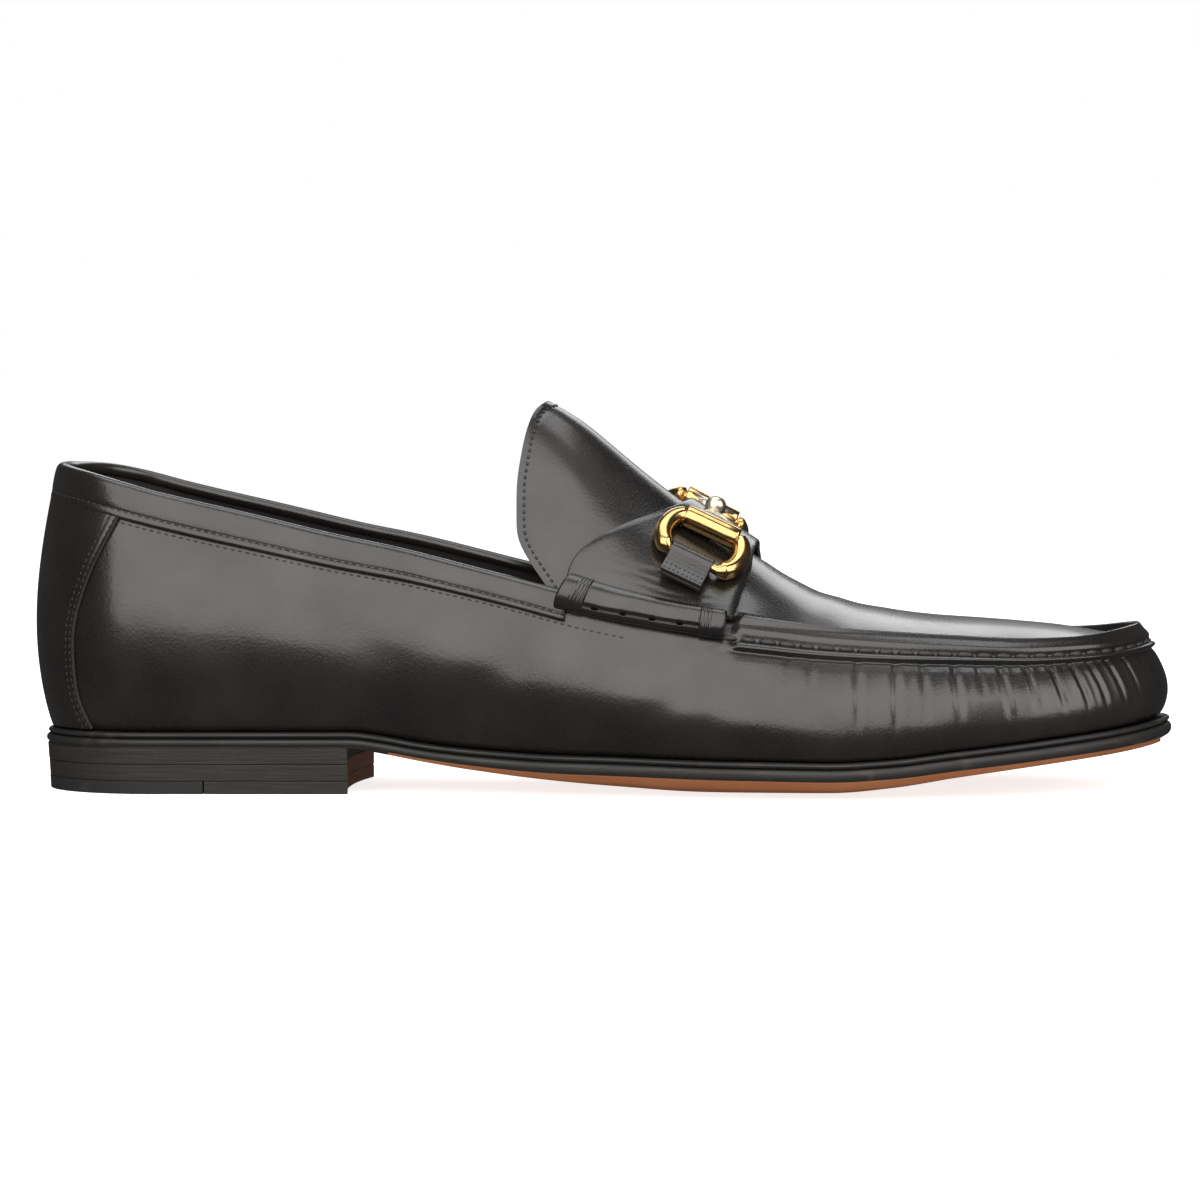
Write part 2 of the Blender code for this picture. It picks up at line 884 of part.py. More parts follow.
def build_bar():
    # Cross bar over the instep: a ball in the middle and an arm that widens to each barrel
    peak, _, _, out = instep_frame(ball_station, ball_across)
    peak = peak + out * (strap_bed + strap_thickness + gap + ball_size / 2)
    arms = []
    ways = []
    for medial in (False, True):
        centre, along, across, _ = ring_frame(medial)
        end = centre - across * (ring_half + barrel_tube / 2 + arm_clearance)
        reach = (peak - end).length * arm_crest
        climb = (peak.z - end.z) / abs(across.z)
        arms.append((end, end - across * min(reach, climb)))
        ways.append(along)
    radius = ball_size / 2
    steps = 26
    centres = []
    sizes = []
    for i in range(steps + 1):
        u = i / steps
        v = 1 - abs(1 - 2 * u)
        near, knee = arms[u > 0.5]
        point = near * (1 - v) ** 2 + knee * 2 * v * (1 - v) + peak * v * v
        away = (point - peak).length
        ball = math.sqrt(max(radius * radius - away * away, 0))
        centres.append(point)
        sizes.append((max(arm_thickness / 2, ball), max(arm_width / 2 * arm_flare(v), ball)))
    frames = []
    sections = []
    for i, (thick, wide) in enumerate(sizes):
        ahead = (centres[min(i + 1, steps)] - centres[max(i - 1, 0)]).normalized()
        way = ways[0].lerp(ways[1], i / steps).normalized()
        frames.append((way.cross(ahead).normalized(), way))
        angles = [2 * math.pi * k / 8 for k in range(8)]
        sections.append([(thick * math.cos(a), wide * math.sin(a)) for a in angles])
    points, faces = sweep(centres, frames, sections, False)
    return make("bit_bar", points, faces, gold_finish, 60)


def build_keeper(name, medial):
    # A leather tab folded round the ring's thin bar, its two ends lying together
    centre, along, across, out = ring_frame(medial)
    bar = centre + across * ring_half - along * keeper_shift
    inner = ring_bar / 2 + gap
    outer = inner + keeper_thickness
    tail = outer + keeper_tail
    closed = gap - inner

    def fold(radius, level):
        # Over the bar, round its far side and back under it, then down to the tail
        arc = [fold_start + (1.5 * math.pi - fold_start) * i / 10 for i in range(11)]
        bend = [(radius * math.cos(a), radius * math.sin(a)) for a in arc]
        knee = bend[0][0] + (bend[0][1] - level) * math.tan(fold_start)
        return [(tail, level), (knee, level)] + bend + [(tail, -radius)]

    profile = fold(inner, closed) + list(reversed(fold(outer, closed + keeper_thickness)))
    sections = [profile, profile]
    centres = [bar - along * keeper_width / 2, bar + along * keeper_width / 2]
    points, faces = sweep(centres, [(across, out)] * 2, sections, False)
    return make(name, points, faces, calf_finish, 35)


def main():
    for thing in list(bpy.data.objects):
        bpy.data.objects.remove(thing, do_unlink=True)
    build_outsole()
    build_midsole()
    build_heel()
    build_insole()
    build_upper()
    build_tongue()
    build_band()
    build_counter()
    build_strap()
    for where, medial in (("lateral", False), ("medial", True)):
        build_side_roll("side_roll_" + where, medial)
        build_ring("bit_ring_" + where, medial)
        build_keeper("keeper_" + where, medial)
    build_bar()


main()
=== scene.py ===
import math

import bmesh
import bpy
import numpy as np
from mathutils import Matrix, Vector


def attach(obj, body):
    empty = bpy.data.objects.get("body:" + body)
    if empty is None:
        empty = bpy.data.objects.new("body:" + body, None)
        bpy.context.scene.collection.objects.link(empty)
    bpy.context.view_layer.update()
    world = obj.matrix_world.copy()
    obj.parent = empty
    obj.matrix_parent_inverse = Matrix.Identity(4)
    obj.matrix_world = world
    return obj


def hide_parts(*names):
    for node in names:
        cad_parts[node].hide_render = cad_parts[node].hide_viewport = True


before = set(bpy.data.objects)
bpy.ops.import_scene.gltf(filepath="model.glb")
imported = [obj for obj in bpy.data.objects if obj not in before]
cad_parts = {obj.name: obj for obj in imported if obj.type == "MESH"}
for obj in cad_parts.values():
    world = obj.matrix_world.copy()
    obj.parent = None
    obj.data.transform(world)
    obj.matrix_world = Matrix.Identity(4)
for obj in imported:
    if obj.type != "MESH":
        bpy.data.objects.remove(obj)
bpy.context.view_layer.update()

print("frame loaded,", len(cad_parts), "nodes")

# Camera at the photograph's angle; the image is 1200 x 1199 pixels
camera = {
    "yaw": 4.735,  # degrees to the right of straight across the shoe
    "pitch": 2.793,
    "roll": -0.317,
    "distance": 1.7136,
    "lookAt": (0.10635, 0.0, 0.04958),
    "focalPixels": 6441.0,
    "imageWidth": 1200.0,
    "sensor": 36.0,
}


def addObject(name, data):
    thing = bpy.data.objects.new(name, data)
    bpy.context.scene.collection.objects.link(thing)
    return thing


def makeCamera():
    yaw, pitch, roll = (math.radians(camera[key]) for key in ("yaw", "pitch", "roll"))
    flat = math.cos(pitch)
    forward = Vector((-math.sin(yaw) * flat, math.cos(yaw) * flat, -math.sin(pitch)))
    right = Vector((math.cos(yaw), math.sin(yaw), 0))
    up = right.cross(forward)
    sideways = right * math.cos(roll) + up * math.sin(roll)
    upright = up * math.cos(roll) - right * math.sin(roll)
    lens = bpy.data.cameras.new("photoCamera")
    lens.sensor_width = camera["sensor"]
    lens.lens = camera["focalPixels"] * camera["sensor"] / camera["imageWidth"]
    eye = addObject("photoCamera", lens)
    axes = Matrix((sideways, upright, -forward)).transposed().to_4x4()
    place = Vector(camera["lookAt"]) - forward * camera["distance"]
    eye.matrix_world = Matrix.Translation(place) @ axes
    bpy.context.scene.camera = eye


# Shape of the last, lengths in metres, the same as in the CAD part
last = {
    "soleLength": 0.300,
    "ballWidth": 0.103,
    "waistWidth": 0.061,
    "heelWidth": 0.066,
    "heelLength": 0.0845,
    "heelRound": 0.033,
    "toeRound": 0.052,
    "toeSpring": 0.0123,
    "seatHeight": 0.0122,
    "gap": 0.0003,
    "soleEdge": 0.0034,
    "soleBevel": 0.0022,
    "soleCrown": 0.0026,
    "randThickness": 0.0014,
    "featherMargin": 0.0030,
    "leather": 0.0020,
    "collarHeight": 0.0870,
    "seamHeight": 0.0385,
    "instepHeight": 0.0760,
    "medialRise": 0.0020,
    "wallLean": 0.0130,
    "wallBulge": 0.0065,
    "collarEnd": 0.462,
    "collarBlend": 0.08,
    "apronStart": 0.578,
    "apronLeastHalf": 0.012,
    "seamStart": 0.612,
    "seamFull": 0.624,
    "swellPower": 0.82,
    "axisFade": 0.1,
}
# Steps for measuring directions: round the sole, along and up the wall, along and across the instep
probe = {"turn": 0.0012, "wallTurn": 0.0015, "wallHeight": 0.02, "station": 0.004, "across": 0.02}
heelBack = -last["heelLength"] / 2
breast = last["heelLength"] / last["soleLength"]

# Columns: station along the sole, middle line, then half widths at heel, waist and ball
planRows = (
    (0.000, 0.000, 0.500, 0.000, 0.000),
    (0.120, 0.000, 0.496, 0.000, 0.000),
    (0.200, -0.004, 0.486, 0.000, 0.000),
    (0.267, -0.009, 0.476, 0.000, 0.000),
    (0.360, -0.029, 0.000, 0.500, 0.000),
    (0.450, -0.048, 0.000, 0.000, 0.322),
    (0.550, -0.046, 0.000, 0.000, 0.392),
    (0.630, -0.033, 0.000, 0.000, 0.462),
    (0.700, -0.017, 0.000, 0.000, 0.500),
    (0.780, -0.004, 0.000, 0.000, 0.494),
    (0.860, 0.008, 0.000, 0.000, 0.464),
    (1.000, 0.026, 0.000, 0.000, 0.420),
)
# Columns: station, heel seat, toe spring, crown, bevel, edge
sideRows = (
    (0.000, 1.000, 0.000, 0.000, 0.000, 0.700),
    (breast, 1.000, 0.000, 0.000, 0.000, 0.700),
    (breast + 0.018, 0.920, 0.000, 0.050, 0.150, 0.720),
    (breast + 0.068, 0.640, 0.000, 0.250, 0.300, 0.740),
    (breast + 0.108, 0.460, 0.000, 0.350, 0.450, 0.820),
    (breast + 0.158, 0.290, 0.000, 0.500, 0.600, 0.920),
    (0.520, 0.110, 0.000, 0.850, 0.850, 1.000),
    (0.585, 0.010, 0.000, 1.000, 1.000, 1.000),
    (0.620, 0.000, 0.000, 1.000, 1.000, 1.000),
    (0.705, 0.000, 0.000, 0.900, 1.000, 1.000),
    (0.760, 0.000, 0.120, 0.750, 0.850, 1.000),
    (0.813, 0.000, 0.340, 0.550, 0.700, 1.000),
    (0.887, 0.000, 0.600, 0.350, 0.550, 1.000),
    (0.975, 0.000, 0.880, 0.200, 0.500, 1.000),
    (1.000, 0.000, 1.000, 0.150, 0.500, 1.000),
)
# Columns: station, collar height, seam height, rise of the inner side, lean outside and inside
topRows = (
    (0.000, 0.990, 1.430, 0.000, 0.360, 0.360),
    (0.040, 0.966, 1.430, 0.500, 0.360, 0.360),
    (0.088, 0.929, 1.430, 0.600, 0.360, 0.360),
    (0.136, 0.889, 1.430, 0.600, 0.350, 0.340),
    (0.200, 0.838, 1.430, 0.600, 0.320, 0.290),
    (0.275, 0.776, 1.430, 0.600, 0.280, 0.170),
    (0.325, 0.740, 1.430, 0.600, 0.240, 0.000),
    (0.387, 0.686, 1.430, 0.600, 0.230, -0.160),
    (0.448, 0.632, 1.430, 0.700, 0.240, -0.230),
    (0.475, 0.608, 1.373, 0.800, 0.300, -0.160),
    (0.530, 0.567, 1.280, 0.500, 0.460, 0.060),
    (0.587, 0.531, 1.200, 0.300, 0.700, 0.360),
    (0.630, 0.531, 1.150, 0.100, 0.900, 0.620),
    (0.720, 0.531, 1.080, 0.000, 1.020, 0.960),
    (0.813, 0.531, 1.032, 0.000, 1.000, 1.000),
    (0.900, 0.531, 1.000, 0.000, 0.850, 0.850),
    (0.965, 0.531, 1.012, 0.000, 0.660, 0.660),
    (1.000, 0.531, 1.052, 0.000, 0.580, 0.580),
)
# Columns: station, swell of the wall outside and inside
swellRows = (
    (0.00, 0.76, 0.76),
    (0.04, 0.84, 0.84),
    (0.10, 0.94, 0.94),
    (0.25, 0.98, 1.00),
    (0.40, 1.02, 1.22),
    (0.55, 0.98, 1.10),
    (0.70, 0.86, 0.90),
    (0.85, 0.76, 0.76),
    (1.00, 0.58, 0.58),
)
# Columns: station, height of the ridge, power of its rounding
ridgeRows = (
    (0.420, 1.430, 2.05),
    (0.448, 1.356, 2.05),
    (0.480, 1.280, 2.00),
    (0.509, 1.183, 1.95),
    (0.545, 1.060, 1.90),
    (0.570, 0.979, 1.88),
    (0.600, 0.895, 1.88),
    (0.633, 0.811, 1.90),
    (0.652, 0.762, 1.95),
    (0.670, 0.716, 2.00),
    (0.687, 0.685, 2.00),
    (0.723, 0.641, 2.10),
    (0.758, 0.614, 2.20),
    (0.793, 0.597, 2.30),
    (0.830, 0.587, 2.30),
    (0.900, 0.563, 2.20),
    (0.967, 0.524, 2.00),
    (1.000, 0.528, 2.00),
)
smoothing = {"samples": 1201, "body": 0.010, "sole": 0.004}


def smoothColumn(rows, column, blur):
    # A curve through one column that doesn't overshoot, then softened along the shoe
    at = np.array([row[0] for row in rows])
    to = np.array([row[column] for row in rows])
    slope = np.diff(to) / np.diff(at)
    middle = [2 * a * b / (a + b) if a * b > 0 else 0.0 for a, b in zip(slope, slope[1:])]
    bend = np.array([slope[0], *middle, slope[-1]])
    x = np.linspace(at[0], at[-1], smoothing["samples"])
    i = np.clip(np.searchsorted(at, x, side="right") - 1, 0, len(slope) - 1)
    width = at[i + 1] - at[i]
    u = (x - at[i]) / width
    low = to[i] * (1 + 2 * u) * (1 - u) ** 2 + bend[i] * width * u * (1 - u) ** 2
    high = to[i + 1] * u * u * (3 - 2 * u) + bend[i + 1] * width * u * u * (u - 1)
    y = low + high
    step = x[1] - x[0]
    reach = int(3 * blur / step)
    offsets = np.arange(-reach, reach + 1) * step
    weights = np.exp(-0.5 * (offsets / blur) ** 2)
    before = 2 * y[0] - y[reach:0:-1]
    after = 2 * y[-1] - y[-2:-reach - 2:-1]
    y = np.convolve(np.concatenate([before, y, after]), weights / weights.sum(), "valid")
    return lambda station: np.interp(station, x, y)


def smoothColumns(rows, blur):
    return [smoothColumn(rows, column, blur) for column in range(1, len(rows[0]))]


middleLine, heelHalf, waistHalf, ballHalf = smoothColumns(planRows, smoothing["body"])
seatShare, springShare, crownShare, bevelShare, edgeShare = smoothColumns(sideRows, smoothing["sole"])
collarShare, seamShare, riseShare, leanOuter, leanInner = smoothColumns(topRows, smoothing["body"])
swellOuter, swellInner = smoothColumns(swellRows, smoothing["body"])
ridgeHeight, ridgePower = smoothColumns(ridgeRows, smoothing["body"])


def fade(x, start, end):
    u = np.clip((x - start) / (end - start), 0, 1)
    return u * u * (3 - 2 * u)


def hump(x, middle, width):
    return np.exp(-((x - middle) / width) ** 2)


def crowd(x, power):  # moves values toward 1 and -1
    return np.sign(x) * (1 - (1 - np.abs(x)) ** power)


def unit(vectors):
    return vectors / np.maximum(np.linalg.norm(vectors, axis=-1, keepdims=True), 1e-12)


def stationOf(turn):  # a turn runs once round the shoe, from the heel's back, outer side first
    return 0.5 * (1 - np.cos(2 * np.pi * turn))


def turnOf(station):
    return np.arccos(1 - 2 * np.clip(station, 0, 1)) / (2 * np.pi)


def turnOn(station, inner):
    turn = turnOf(station)
    return 1 - turn if inner else turn


def stationAt(points):
    return np.clip((points[..., 0] - heelBack) / last["soleLength"], 0, 1)


def isInner(turn):
    return turn % 1 >= 0.5


def soleOutline(turn):
    turn = np.asarray(turn, float)
    s = stationOf(turn)
    half = last["heelWidth"] * heelHalf(s) + last["waistWidth"] * waistHalf(s)
    half = half + last["ballWidth"] * ballHalf(s)
    back = 1 - np.minimum(s * last["soleLength"] / last["heelRound"], 1)
    front = 1 - np.minimum((1 - s) * last["soleLength"] / last["toeRound"], 1)
    half = half * np.sqrt(np.maximum(1 - back**2, 0)) * np.sqrt(np.maximum(1 - front**2, 0))
    axis = last["ballWidth"] * middleLine(s) * fade(s, 0, last["axisFade"])
    y = axis + np.where(isInner(turn), half, -half)
    return np.stack([heelBack + s * last["soleLength"], y, np.zeros_like(s)], -1)


def inward(turn):
    turn = np.asarray(turn, float)
    along = soleOutline(turn + probe["turn"]) - soleOutline(turn - probe["turn"])
    return unit(np.stack([-along[..., 1], along[..., 0], np.zeros_like(turn)], -1))


def outline(turn, inset):
    return soleOutline(turn) + inward(turn) * np.asarray(inset)[..., None]


def underside(s):
    return last["seatHeight"] * seatShare(s) + last["toeSpring"] * springShare(s)


def soleTop(s):
    edge = last["soleBevel"] * bevelShare(s) + last["soleEdge"] * edgeShare(s)
    return underside(s) + last["soleCrown"] * crownShare(s) + edge


def featherHeight(s):
    return soleTop(s) + last["randThickness"] + 2 * last["gap"]


def topEdge(turn):
    turn = np.asarray(turn, float)
    s = stationOf(turn)
    inner = isInner(turn)
    points = outline(turn, last["wallLean"] * np.where(inner, leanInner(s), leanOuter(s)))
    front = fade(s, last["collarEnd"], last["collarEnd"] + last["collarBlend"])
    collar = last["collarHeight"] * collarShare(s) * (1 - front)
    points[..., 2] = collar + last["seamHeight"] * seamShare(s) * front
    points[..., 2] += np.where(inner, last["medialRise"] * riseShare(s), 0)
    return points


def wall(turn, v):  # v is 0 at the sole and 1 at the top line
    turn, v = np.broadcast_arrays(np.asarray(turn, float), np.asarray(v, float))
    s = stationOf(turn)
    foot = outline(turn, last["featherMargin"])
    foot[..., 2] = featherHeight(s)
    top = topEdge(turn)
    swell = np.where(isInner(turn), swellInner(s), swellOuter(s))
    bulge = last["wallBulge"] * swell * np.sin(np.pi * np.clip(v, 0, 1) ** last["swellPower"])
    return foot + (top - foot) * v[..., None] - inward(turn) * bulge[..., None]


def wallNormal(turn, v):
    along = wall(turn + probe["wallTurn"], v) - wall(turn - probe["wallTurn"], v)
    high = np.minimum(v + probe["wallHeight"], 1)
    low = np.maximum(v - probe["wallHeight"], 0)
    up = wall(turn, high) - wall(turn, low)
    return unit(np.cross(along, up))


def wallHeight(turn):
    return np.linalg.norm(topEdge(turn) - wall(turn, 0), axis=-1)


def instep(s, w, tuck=0.0, drop=0.0):  # w runs from -1 on the outer side to 1 on the inner
    s, w = np.broadcast_arrays(np.asarray(s, float), np.asarray(w, float))
    turn = turnOf(s)
    left = topEdge(turn)
    right = topEdge(1 - turn)
    middle = (left + right) / 2
    half = (right - left) / 2
    top = last["instepHeight"] * ridgeHeight(s)
    base = middle[..., 2] - drop
    height = base + (top - base) * (1 - np.abs(w) ** ridgePower(s))
    shrink = 1 - tuck / np.linalg.norm(half, axis=-1)
    points = middle + half * (w * shrink)[..., None]
    points[..., 2] = height + half[..., 2] * w
    return points


def instepFrame(s, w):  # a point with the directions along and out of it
    along = instep(s + probe["station"], w) - instep(s - probe["station"], w)
    across = instep(s, w + probe["across"]) - instep(s, w - probe["across"])
    along, across = unit(along), unit(across)
    return instep(s, w), along, unit(np.cross(along, across))


def gridFaces(rows, columns, closed=False, start=0):
    r = np.arange(rows - 1)[:, None]
    c = np.arange(columns if closed else columns - 1)[None, :]
    near = start + r * columns + c
    far = start + r * columns + (c + 1) % columns
    return np.stack([near, far, far + columns, near + columns], -1).reshape(-1, 4).tolist()


def gridNormals(points, closed=False):
    if closed:
        along = np.roll(points, -1, axis=1) - np.roll(points, 1, axis=1)
    else:
        along = np.gradient(points, axis=1)
    return unit(np.cross(along, np.gradient(points, axis=0)))


def shellFaces(faces, count):
    # The outer skin, the inner skin turned round, and a rim along every open edge
    openEdges = {}
    for face in faces:
        for a, b in zip(face, face[1:] + face[:1]):
            if (b, a) in openEdges:
                del openEdges[(b, a)]
            else:
                openEdges[(a, b)] = True
    inner = [[i + count for i in reversed(face)] for face in faces]
    rim = [[b, a, a + count, b + count] for a, b in openEdges]
    return inner, rim


# Points closer than this are one point, and edges shorter than this are dropped
finest = {"weld": 2e-6, "edge": 1e-7}


def makePiece(name, points, faces, materials, indices=None):
    mesh = bpy.data.meshes.new(name)
    mesh.from_pydata(np.asarray(points).reshape(-1, 3).tolist(), [], faces)
    if indices is not None:
        mesh.polygons.foreach_set("material_index", indices)
    shape = bmesh.new()
    shape.from_mesh(mesh)
    bmesh.ops.remove_doubles(shape, verts=shape.verts, dist=finest["weld"])
    bmesh.ops.dissolve_degenerate(shape, edges=shape.edges, dist=finest["edge"])
    bmesh.ops.recalc_face_normals(shape, faces=shape.faces)
    shape.to_mesh(mesh)
    shape.free()
    mesh.shade_smooth()
    for material in materials:
        mesh.materials.append(material)
    return addObject(name, mesh)


def softenEdges(piece, width, angle=40):
    piece.data.set_sharp_from_angle(angle=math.radians(angle))
    bevel = piece.modifiers.new("softEdge", "BEVEL")
    bevel.width = width
    bevel.segments = 2
    bevel.limit_method = "ANGLE"
    bevel.angle_limit = math.radians(angle)
    bevel.harden_normals = True


def layOn(name, points, normals, low, high, edge, lift):
    # A sheet of leather over a surface, with its own thickness and softened edges
    outer = points + normals * (high + lift)[..., None]
    inner = points + normals * low
    faces = gridFaces(points.shape[0], points.shape[1])
    count = points.shape[0] * points.shape[1]
    back, rim = shellFaces(faces, count)
    indices = [0] * len(faces + back) + [1] * len(rim)
    both = np.concatenate([outer.reshape(-1, 3), inner.reshape(-1, 3)])
    piece = makePiece(name, both, faces + back + rim, [calf, rawEdge], indices)
    softenEdges(piece, edge)
    return piece


def sweepAlong(name, centres, right, up, profile, material, closed=False):
    # profile holds (right, up) offsets, one closed loop for each centre; right and up may be one vector
    right, up = np.broadcast_to(right, centres.shape), np.broadcast_to(up, centres.shape)
    points = centres[:, None] + right[:, None] * profile[..., :1] + up[:, None] * profile[..., 1:]
    rows, columns = profile.shape[:2]
    if closed:
        points = np.concatenate([points, points[:1]])
        rows += 1
    faces = gridFaces(rows, columns, True)
    if not closed:
        faces.append(list(range(columns))[::-1])
        faces.append(list(range((rows - 1) * columns, rows * columns)))
    return makePiece(name, points, faces, [material])


def joinPieces(name, pieces):  # all of one material
    mesh = bpy.data.meshes.new(name)
    mesh.materials.append(pieces[0].data.materials[0])
    shape = bmesh.new()
    for piece in pieces:
        shape.from_mesh(piece.data)
        bpy.data.objects.remove(piece)
    shape.to_mesh(mesh)
    shape.free()
    return addObject(name, mesh)


def place(piece, slotName, *nodes):
    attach(piece, "root")
    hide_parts(*nodes)


class Wire:  # a socket that plain arithmetic can be done on
    def __init__(self, owner, socket):
        self.owner = owner
        self.socket = socket

    def maths(self, operation, first, second):
        return self.owner.node("ShaderNodeMath", {"operation": operation}, {0: first, 1: second})

    def __add__(self, other):
        return self.maths("ADD", self, other)

    def __sub__(self, other):
        return self.maths("SUBTRACT", self, other)

    def __mul__(self, other):
        return self.maths("MULTIPLY", self, other)


class NodeBench:  # adds nodes to one tree
    def __init__(self, tree):
        self.tree = tree

    def node(self, kind, settings=None, inputs=None, output=0):
        made = self.tree.nodes.new(kind)
        for name, value in (settings or {}).items():
            setattr(made, name, value)
        for name, value in (inputs or {}).items():
            if isinstance(value, Wire):
                self.tree.links.new(value.socket, made.inputs[name])
            else:
                made.inputs[name].default_value = value
        return Wire(self, made.outputs[output])


def color(red, green, blue):
    return (red, green, blue, 1.0)


class Finish(NodeBench):  # one material around its Principled shader; shine is its specular level
    def __init__(self, name, shine, **constants):
        self.material = bpy.data.materials.new(name)
        self.material.use_nodes = True
        super().__init__(self.material.node_tree)
        self.shader = self.tree.nodes["Principled BSDF"]
        self.shader.inputs["Specular IOR Level"].default_value = shine
        for socket, value in constants.items():
            self.shader.inputs[socket.replace("_", " ")].default_value = value
        self.position = self.node("ShaderNodeTexCoord", output="Object")

    def noise(self, scale, detail=2.0, stretch=None):
        at = self.position
        if stretch:
            at = self.node("ShaderNodeMapping", inputs={"Vector": at, "Scale": stretch})
        inputs = {"Vector": at, "Scale": scale, "Detail": detail}
        return self.node("ShaderNodeTexNoise", {"noise_dimensions": "3D"}, inputs, "Fac")

    def cells(self, scale):
        inputs = {"Vector": self.position, "Scale": scale}
        return self.node("ShaderNodeTexVoronoi", {"feature": "F1"}, inputs, "Distance")

    def level(self, value, low, high, to=(0.0, 1.0)):
        inputs = {"Value": value, 1: low, 2: high, 3: to[0], 4: to[1]}
        return self.node("ShaderNodeMapRange", {"clamp": True}, inputs)

    def mixColor(self, factor, first, second):
        made = self.tree.nodes.new("ShaderNodeMix")
        made.data_type = "RGBA"
        for index, value in ((0, factor), (6, first), (7, second)):
            if isinstance(value, Wire):
                self.tree.links.new(value.socket, made.inputs[index])
            else:
                made.inputs[index].default_value = value
        return Wire(self, made.outputs[2])

    def feed(self, socket, value):
        self.tree.links.new(value.socket, self.shader.inputs[socket])

    def paint(self, factor, dark, light):
        self.feed("Base Color", self.mixColor(factor, color(*dark), color(*light)))

    def gloss(self, value, limits, span=(0.3, 0.7)):
        self.feed("Roughness", self.level(value, *span, limits))

    def bump(self, layers):
        normal = None
        for height, distance, strength in layers:
            inputs = {"Height": height, "Distance": distance, "Strength": strength}
            if normal:
                inputs["Normal"] = normal
            normal = self.node("ShaderNodeBump", inputs=inputs)
        self.feed("Normal", normal)
        return self.material


# Bump layers are given as height, depth in metres and strength
calfLook = {
    "black": (0.0060, 0.0055, 0.0053),
    "brown": (0.011, 0.0090, 0.0078),
    "gloss": (0.23, 0.34),
    "coat": (0.25, 0.45),
    "pores": 2600.0,
    "cells": 1150.0,
    "waves": 75.0,
    "cloud": 38.0,
}


def calfFinish():
    leather = Finish("polishedBlackCalf", 0.55, Coat_Roughness=0.16)
    cloud = leather.noise(calfLook["cloud"], 3.0)
    pores = leather.noise(calfLook["pores"])
    cells = leather.cells(calfLook["cells"])
    waves = leather.noise(calfLook["waves"])
    leather.paint(leather.level(cloud, 0.35, 0.7), calfLook["black"], calfLook["brown"])
    leather.gloss(cloud * 0.6 + pores * 0.4, calfLook["gloss"])
    leather.feed("Coat Weight", leather.level(waves, 0.3, 0.7, calfLook["coat"]))
    return leather.bump([(waves, 0.0010, 0.18), (cells, 0.00012, 0.22), (pores, 0.00006, 0.35)])


def edgeFinish():
    edge = Finish("waxedBlackEdge", 0.5)
    streaks = edge.noise(420.0, 4.0, (0.12, 0.12, 3.0))
    specks = edge.noise(1500.0)
    worn = edge.level(edge.noise(160.0, 4.0), 0.60, 0.78)
    edge.paint(worn, (0.010, 0.0095, 0.009), (0.030, 0.024, 0.019))
    edge.gloss(streaks, (0.42, 0.60))
    return edge.bump([(streaks, 0.0002, 0.35), (specks, 0.0001, 0.3)])


def heelFinish(name, dark, light):
    heel = Finish(name, 0.4)
    rows = heel.noise(300.0, 4.0, (0.2, 0.2, 4.0))
    rough = heel.noise(900.0, 3.0)
    heel.paint(rows * 0.6 + rough * 0.4, dark, light)
    heel.gloss(rows, (0.40, 0.58))
    return heel.bump([(rows, 0.0003, 0.4), (rough, 0.00015, 0.4)])


def tanFinish():
    tan = Finish("tanSoleLeather", 0.4)
    fibres = tan.noise(500.0, 4.0, (0.3, 1.0, 1.0))
    cloud = tan.noise(45.0, 4.0)
    scuffs = tan.level(tan.noise(120.0, 5.0, (0.35, 1.0, 1.0)), 0.58, 0.72)
    clean = tan.mixColor(cloud, color(0.15, 0.047, 0.013), color(0.25, 0.088, 0.027))
    tan.feed("Base Color", tan.mixColor(scuffs * 0.5, clean, color(0.10, 0.040, 0.016)))
    tan.gloss(cloud + fibres * 0.5, (0.36, 0.55), (0.4, 1.0))
    return tan.bump([(fibres, 0.0002, 0.3)])


def rubberFinish():
    rubber = Finish("heelRubber", 0.4)
    grain = rubber.noise(1800.0)
    dust = rubber.level(rubber.noise(90.0, 4.0), 0.55, 0.8)
    rubber.paint(dust, (0.011, 0.011, 0.011), (0.028, 0.027, 0.026))
    rubber.gloss(grain, (0.55, 0.72))
    return rubber.bump([(grain, 0.0001, 0.4)])


def liningFinish():
    lining = Finish("blackLining", 0.4)
    pores = lining.noise(1600.0, 3.0)
    cloud = lining.noise(50.0, 3.0)
    lining.paint(cloud, (0.013, 0.012, 0.012), (0.026, 0.023, 0.021))
    lining.gloss(pores, (0.48, 0.64))
    return lining.bump([(pores, 0.0001, 0.45), (cloud, 0.0005, 0.15)])


def fibreFinish(name, specular, scale, detail, dark, light, limits, depth):
    # Colour, gloss and relief all follow one fine noise
    fibre = Finish(name, specular)
    grain = fibre.noise(scale, detail)
    fibre.paint(grain, dark, light)
    fibre.gloss(grain, limits)
    return fibre.bump([(grain, depth, 0.5)])


def metalFinish(name, pale, deep, limits):
    metal = Finish(name, 0.5, Metallic=1.0)
    smear = metal.noise(260.0, 3.0)
    metal.paint(smear, pale, deep)
    metal.gloss(smear, limits)
    return metal.bump([(metal.noise(2400.0), 0.00003, 0.12)])


